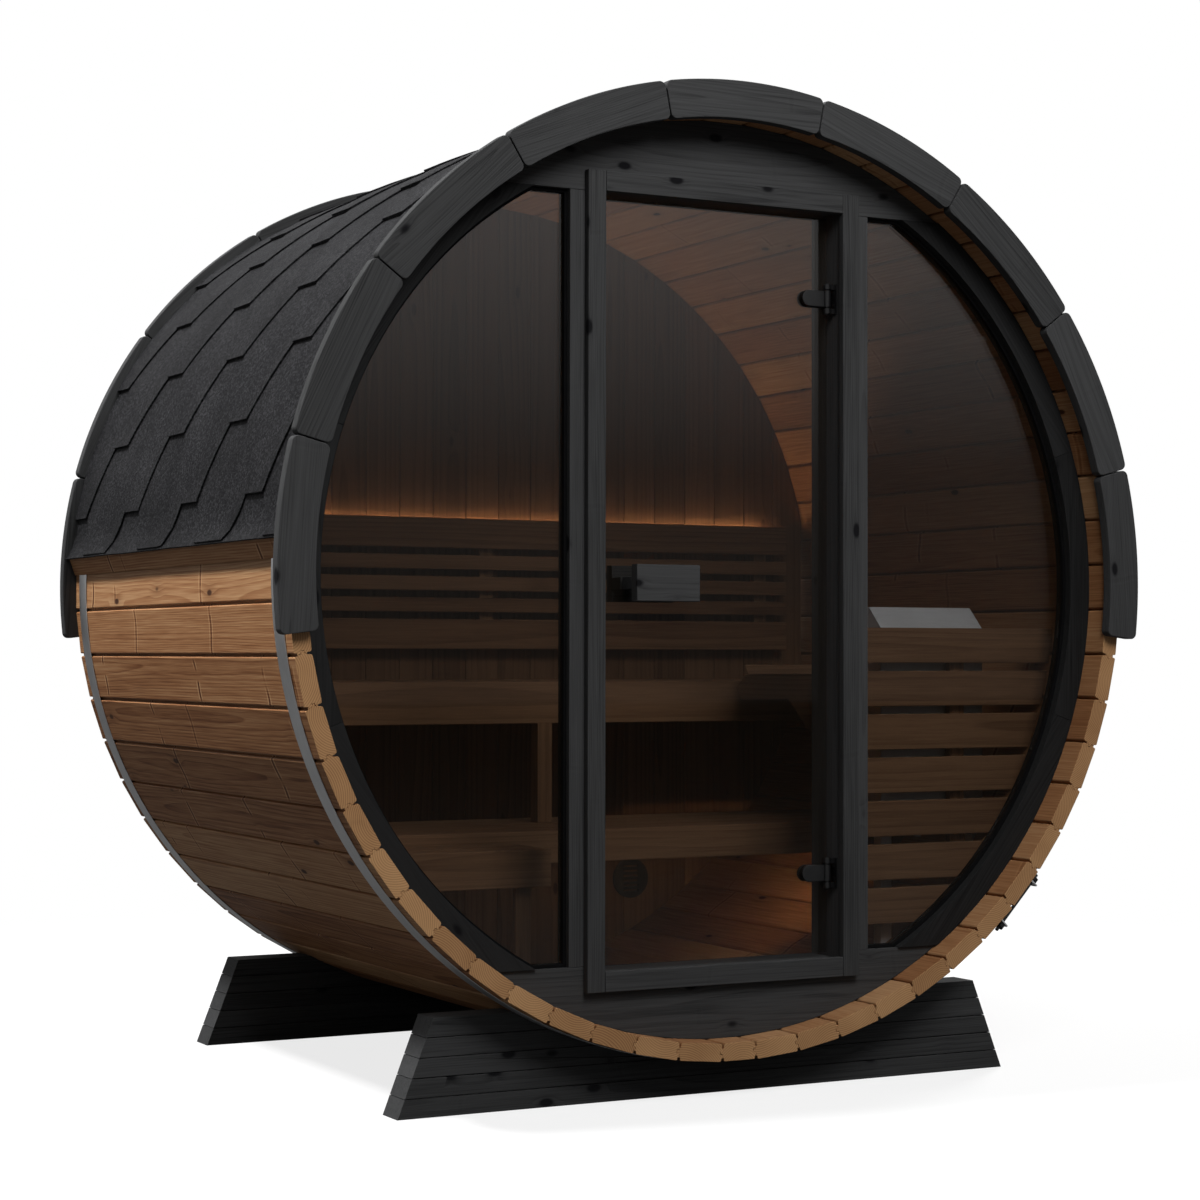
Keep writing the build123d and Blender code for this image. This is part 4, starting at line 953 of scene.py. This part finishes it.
# benches: a front apron, slats behind it and cross rails below them; the supports that show are blocks, given
# by their corners, and legs, given by left, right, top, front and back
bench = {"board": 0.022, "gap": 0.010, "edge": 0.003, "rail": 0.04, "railEdge": 0.002, "apronPlay": 0.001}
tiers = {
    "top_bench": {"node": "upper_bench", "front": 0.76102, "back": 1.2637, "top": 0.86696, "apron": 0.098,
                  "slats": 5, "rails": (-0.7808, -0.0742, 0.7808), "seed": 760,
                  "blocks": [((-0.0932, 0.762, 0.5363), (-0.0552, 0.799, 0.845), 790)]},
    "foot_bench": {"node": "lower_bench", "front": 0.507, "back": 0.947, "top": 0.536, "apron": 0.073,
                   "slats": 4, "rails": (-0.4392, 0.0, 0.4392), "seed": 800},
    "corner_step": {"node": "step_bench", "front": 0.305, "back": 0.5067, "top": 0.51199, "apron": 0.081,
                    "slats": 2, "rails": (), "right": -0.2885, "seed": 830,
                    "blocks": [((-0.3100, 0.327, 0.431), (-0.2881, 0.5065, 0.4897), 840)],
                    "legs": [(-0.3639, -0.3262, 0.4898, 0.327, 0.343, 841)]},
}
board, gap, edge, railHalf = bench["board"], bench["gap"], bench["edge"], bench["rail"] / 2
for name, tier in tiers.items():
    front, back, top, seed = tier["front"], tier["back"], tier["top"], tier["seed"]
    pitch = (back - front + gap) / tier["slats"]
    under = top - tier["apron"]
    limit = {"right": tier["right"]} if "right" in tier else {}
    addAcross(under, top, front, front + board, edge, seed, **limit)
    for k in range(tier["slats"]):
        start = front + (k * pitch if k else board + bench["apronPlay"])
        addAcross(top - board, top, start, front + (k + 1) * pitch - gap, edge, seed + 1 + k, **limit)
    for k, railAt in enumerate(tier["rails"]):
        addBlock([railAt - railHalf, front + board, under], [railAt + railHalf, back, top - board],
                 bench["railEdge"], seed + 20 + k)
    for low, high, blockSeed in tier.get("blocks", ()):
        addBlock(low, high, bench["railEdge"], blockSeed)
    for leg in tier.get("legs", ()):
        addLeg(*leg)
    place(name, "bench_wood", [tier["node"]])

# side seat: a top board mitred at its free end, over a nosed front board that leans back under it
seat = {"left": 0.33, "front": 0.5072, "back": 0.7606, "top": 0.90697, "under": 0.885, "foot": 0.695,
        "nose": [(0.322, 0.885), (0.316, 0.852), (0.340, 0.825), (0.472, 0.825), (0.640, 0.695)],
        "mitre": 0.62, "thick": 0.03, "lean": 0.85, "overhang": 0.004, "slope": 0.8, "topEdge": 0.002,
        "frontEdge": 0.003, "levels": 12}
wallSide, left, mitre = chordAt(seat["under"] - axisHeight) - cutPlay, seat["left"], seat["mitre"]
near, topThick = frontEnd + seat["front"], seat["top"] - seat["under"]
far = frontEnd + seat["back"] - seat["slope"] * topThick
addBoard([(left, near), (wallSide, near), (wallSide, far), (left + mitre * (far - near), far)], topThick,
         seat["topEdge"], [0, 0, seat["under"]], [xAxis, yAxis, zAxis + seat["slope"] * yAxis], seed=850)
level = np.linspace(seat["foot"], seat["under"], seat["levels"])
aside = mitre * seat["thick"]
end = chordAt(level - axisHeight) - 2 * cutPlay - aside
outline = np.concatenate([seat["nose"], np.stack([end, level], 1)])
stand = near + seat["overhang"] + seat["thick"] + seat["lean"] * seat["under"]
addBoard(outline, seat["thick"], seat["frontEdge"], [aside, stand, 0],
         [xAxis, zAxis - seat["lean"] * yAxis, -yAxis - mitre * xAxis], seed=851)
place("corner_seat", "bench_wood", ["side_seat"])

# backrest: a wide board above and below three slats, on battens
rest = {"front": 1.2177, "board": 0.022, "back": 1.2637, "low": 0.94396, "half": 0.8799, "gap": 0.0175,
        "heights": (0.075, 0.036, 0.036, 0.036, 0.075), "edge": 0.003, "battens": (-0.8096, 0.0, 0.8096),
        "battenHalf": 0.019, "battenHigh": 0.29, "battenEdge": 0.001}
level, slatBack = rest["low"], rest["front"] + rest["board"]
for k, height in enumerate(rest["heights"]):
    addBlock([-rest["half"], rest["front"], level], [rest["half"], slatBack, level + height], rest["edge"],
             860 + k)
    level += height + rest["gap"]
for k, x in enumerate(rest["battens"]):
    low, high = rest["low"], rest["low"] + rest["battenHigh"]
    addBlock([x - rest["battenHalf"], slatBack, low], [x + rest["battenHalf"], rest["back"], high],
             rest["battenEdge"], 866 + k)
place("back_slats", "bench_wood", ["backrest"])

# heater guard: slats across the right-hand corner on two uprights
guard = {"front": 0.190, "left": 0.40016, "top": 0.99296, "slat": 0.08, "gap": 0.018, "slats": 7,
         "board": 0.02, "edge": 0.003, "uprights": (0.40816, 0.69), "uprightWide": 0.04, "uprightDrop": 0.008}
slatBack = guard["front"] + guard["board"]
for k in range(guard["slats"]):
    top = guard["top"] - k * (guard["slat"] + guard["gap"])
    addAcross(top - guard["slat"], top, guard["front"], slatBack, guard["edge"], 880 + k, left=guard["left"])
for k, left in enumerate(guard["uprights"]):
    addLeg(left, left + guard["uprightWide"], guard["top"] - guard["uprightDrop"], slatBack,
           slatBack + guard["board"], 890 + k)
place("stove_guard", "bench_wood", ["heater_guard"])

# heater: folded sheet on four legs, its hood leaning back over the front; the top is open
stove = {"left": 0.51796, "wide": 0.284, "front": 0.238, "deep": 0.23596, "low": 0.589, "shoulder": 0.99296,
         "hood": 0.048, "sheet": 0.004, "leg": 0.03, "legPlay": 0.001, "cheekEdge": 0.0015,
         "frontEdge": 0.0012, "floorEdge": 0.001, "foldLong": 1.4, "foldShort": 0.4}
sheet, hood, front, leg = stove["sheet"], stove["hood"], stove["front"], stove["leg"]
left, right, back = stove["left"], stove["left"] + stove["wide"], front + stove["deep"]
low, shoulder, top = stove["low"], stove["shoulder"], stove["shoulder"] + hood
sideways = [yAxis, zAxis, xAxis]
bent = [(front, low), (front, shoulder), (front + hood, top)]
for x in (left, right - sheet):
    addBoard([*bent, (back, top), (back, low)], sheet, stove["cheekEdge"], [x, frontEnd, 0], sideways)
inner = [(front + hood + stove["foldLong"] * sheet, top),
         (front + sheet, shoulder - stove["foldShort"] * sheet), (front + sheet, low)]
addBoard(bent + inner, stove["wide"], stove["frontEdge"], [left, frontEnd, 0], sideways)
addBlock([left, back - sheet, low], [right, back, top], stove["cheekEdge"])
addBlock([left, front, low], [right, back, low + sheet], stove["floorEdge"])
for x in (left, right - leg):
    for y in (front, back - leg):
        addLeg(x, x + leg, low + stove["legPlay"], y, y + leg, seed=0)
place("stove_housing", "heater_steel", ["heater"])

# pieces that keep their CAD shape and only take a finish
for name, look in (("rear_vent", "black_metal"), ("light_strip", "lamp")):
    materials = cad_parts[name].data.materials
    materials.clear()
    materials.append(looks[look])
print("interior made")

# floor: pale with the part's shadow, white further off, and dull to light that bounces
ground = {"half": 40, "pale": 0.92, "dull": 0.065, "roughness": 0.9, "fade": (1.6, 3.6), "nearWhite": 0.8}
floorMesh = bpy.data.meshes.new("floor")
half = ground["half"]
corners = np.column_stack([rectangle(-half, -half, half, half), np.zeros(4)])
floorMesh.from_pydata(corners, [], [(0, 1, 2, 3)])
floor = bpy.data.objects.new("floor", floorMesh)
scene.collection.objects.link(floor)
look, start = newLook("floorPaint")
start.feed({"Base Color": (*[ground["pale"]] * 3, 1), "Roughness": ground["roughness"],
            "Specular IOR Level": 0.0})
spot = start.spot()
away = spot.node("ShaderNodeVectorMath", {"operation": "LENGTH"}, {0: spot}, 1).step(*ground["fade"])
white = start.node("ShaderNodeEmission", None, {"Color": (1, 1, 1, 1), "Strength": 1.0})
dull = start.node("ShaderNodeBsdfDiffuse", None, {"Color": (*[ground["dull"]] * 3, 1)})
whiteShare = away * (1 - ground["nearWhite"]) + ground["nearWhite"]
shown = start.node("ShaderNodeMixShader", None, {0: whiteShare, 1: start, 2: white})
both = start.node("ShaderNodeMixShader", None, {0: start.node("ShaderNodeLightPath"), 1: dull, 2: shown})
start.tree.links.new(both.socket, start.tree.nodes["Material Output"].inputs["Surface"])
floorMesh.materials.append(look)

# sky: white to the camera, and to the part a dome that is dim at the horizon and bright above it, at full
# strength for glossy rays and those through glass, which are the light path's outputs 3 and 6
dome = {"stops": [(0.0, 0.06), (0.07, 0.14), (0.19, 0.95), (0.5, 1.0)], "softStrength": 0.14}
world = bpy.data.worlds.new("studio")
world.use_nodes = True
scene.world = world
sky = Wire(world.node_tree, world.node_tree.nodes["Background"].outputs[0])
seen = sky.node("ShaderNodeLightPath")
shade = sky.node("ShaderNodeTexCoord").part(2).ramp([(rise, (grey,) * 3) for rise, grey in dome["stops"]])
soft, mirrored, plain = [
    sky.node("ShaderNodeBackground", None, {"Color": colour, "Strength": strength})
    for colour, strength in ((shade, dome["softStrength"]), (shade, 1.0), ((1, 1, 1, 1), 1.0))]
glossy = seen.twin(3).math("MAXIMUM", seen.twin(6))
partly = sky.node("ShaderNodeMixShader", None, {0: glossy, 1: soft, 2: mirrored})
both = sky.node("ShaderNodeMixShader", None, {0: seen, 1: partly, 2: plain})
world.node_tree.links.new(both.socket, world.node_tree.nodes["World Output"].inputs["Surface"])

# studio lamps: a key high on the left, a broad weak fill in front, and one behind for the sides the photo
# hides; each with its place, size and power
lamps = {"key": ((-4.6, 0.4, 9.1), 0.9, 1470.0), "fill": ((-0.3, -3.6, 3.8), 2.0, 112.0),
         "behind": ((5.0, 4.2, 4.0), 2.5, 620.0)}
lampTarget = Vector((0, 0, 1.0))
for name, (spot, size, power) in lamps.items():
    lamp = bpy.data.lights.new(name, "AREA")
    lamp.shape, lamp.size, lamp.energy = "DISK", size, power
    holder = bpy.data.objects.new(name, lamp)
    aim = (lampTarget - Vector(spot)).to_track_quat("-Z", "Y")
    holder.matrix_world = Matrix.Translation(spot) @ aim.to_matrix().to_4x4()
    holder.visible_glossy = False
    scene.collection.objects.link(holder)

# camera: the photo's place, turned by yaw and pitch
eye = {"place": (-2.8455, -5.4207, 0.9310), "yaw": 0.48875, "pitch": 0.02084, "roll": 0.00167, "lens": 78.4,
       "sensor": 36.0}
yaw, pitch, roll = eye["yaw"], eye["pitch"], eye["roll"]
forward = Vector((math.sin(yaw) * math.cos(pitch), math.cos(yaw) * math.cos(pitch), math.sin(pitch)))
flat = Vector((math.cos(yaw), -math.sin(yaw), 0))
across = flat * math.cos(roll) + flat.cross(forward) * math.sin(roll)
view = bpy.data.cameras.new("photoView")
view.lens, view.sensor_width, view.sensor_fit = eye["lens"], eye["sensor"], "HORIZONTAL"
camera = bpy.data.objects.new("photoView", view)
turn = Matrix((across, across.cross(forward), -forward)).transposed().to_4x4()
camera.matrix_world = Matrix.Translation(eye["place"]) @ turn
scene.collection.objects.link(camera)
scene.camera = camera
print("stage, lamps and camera made")
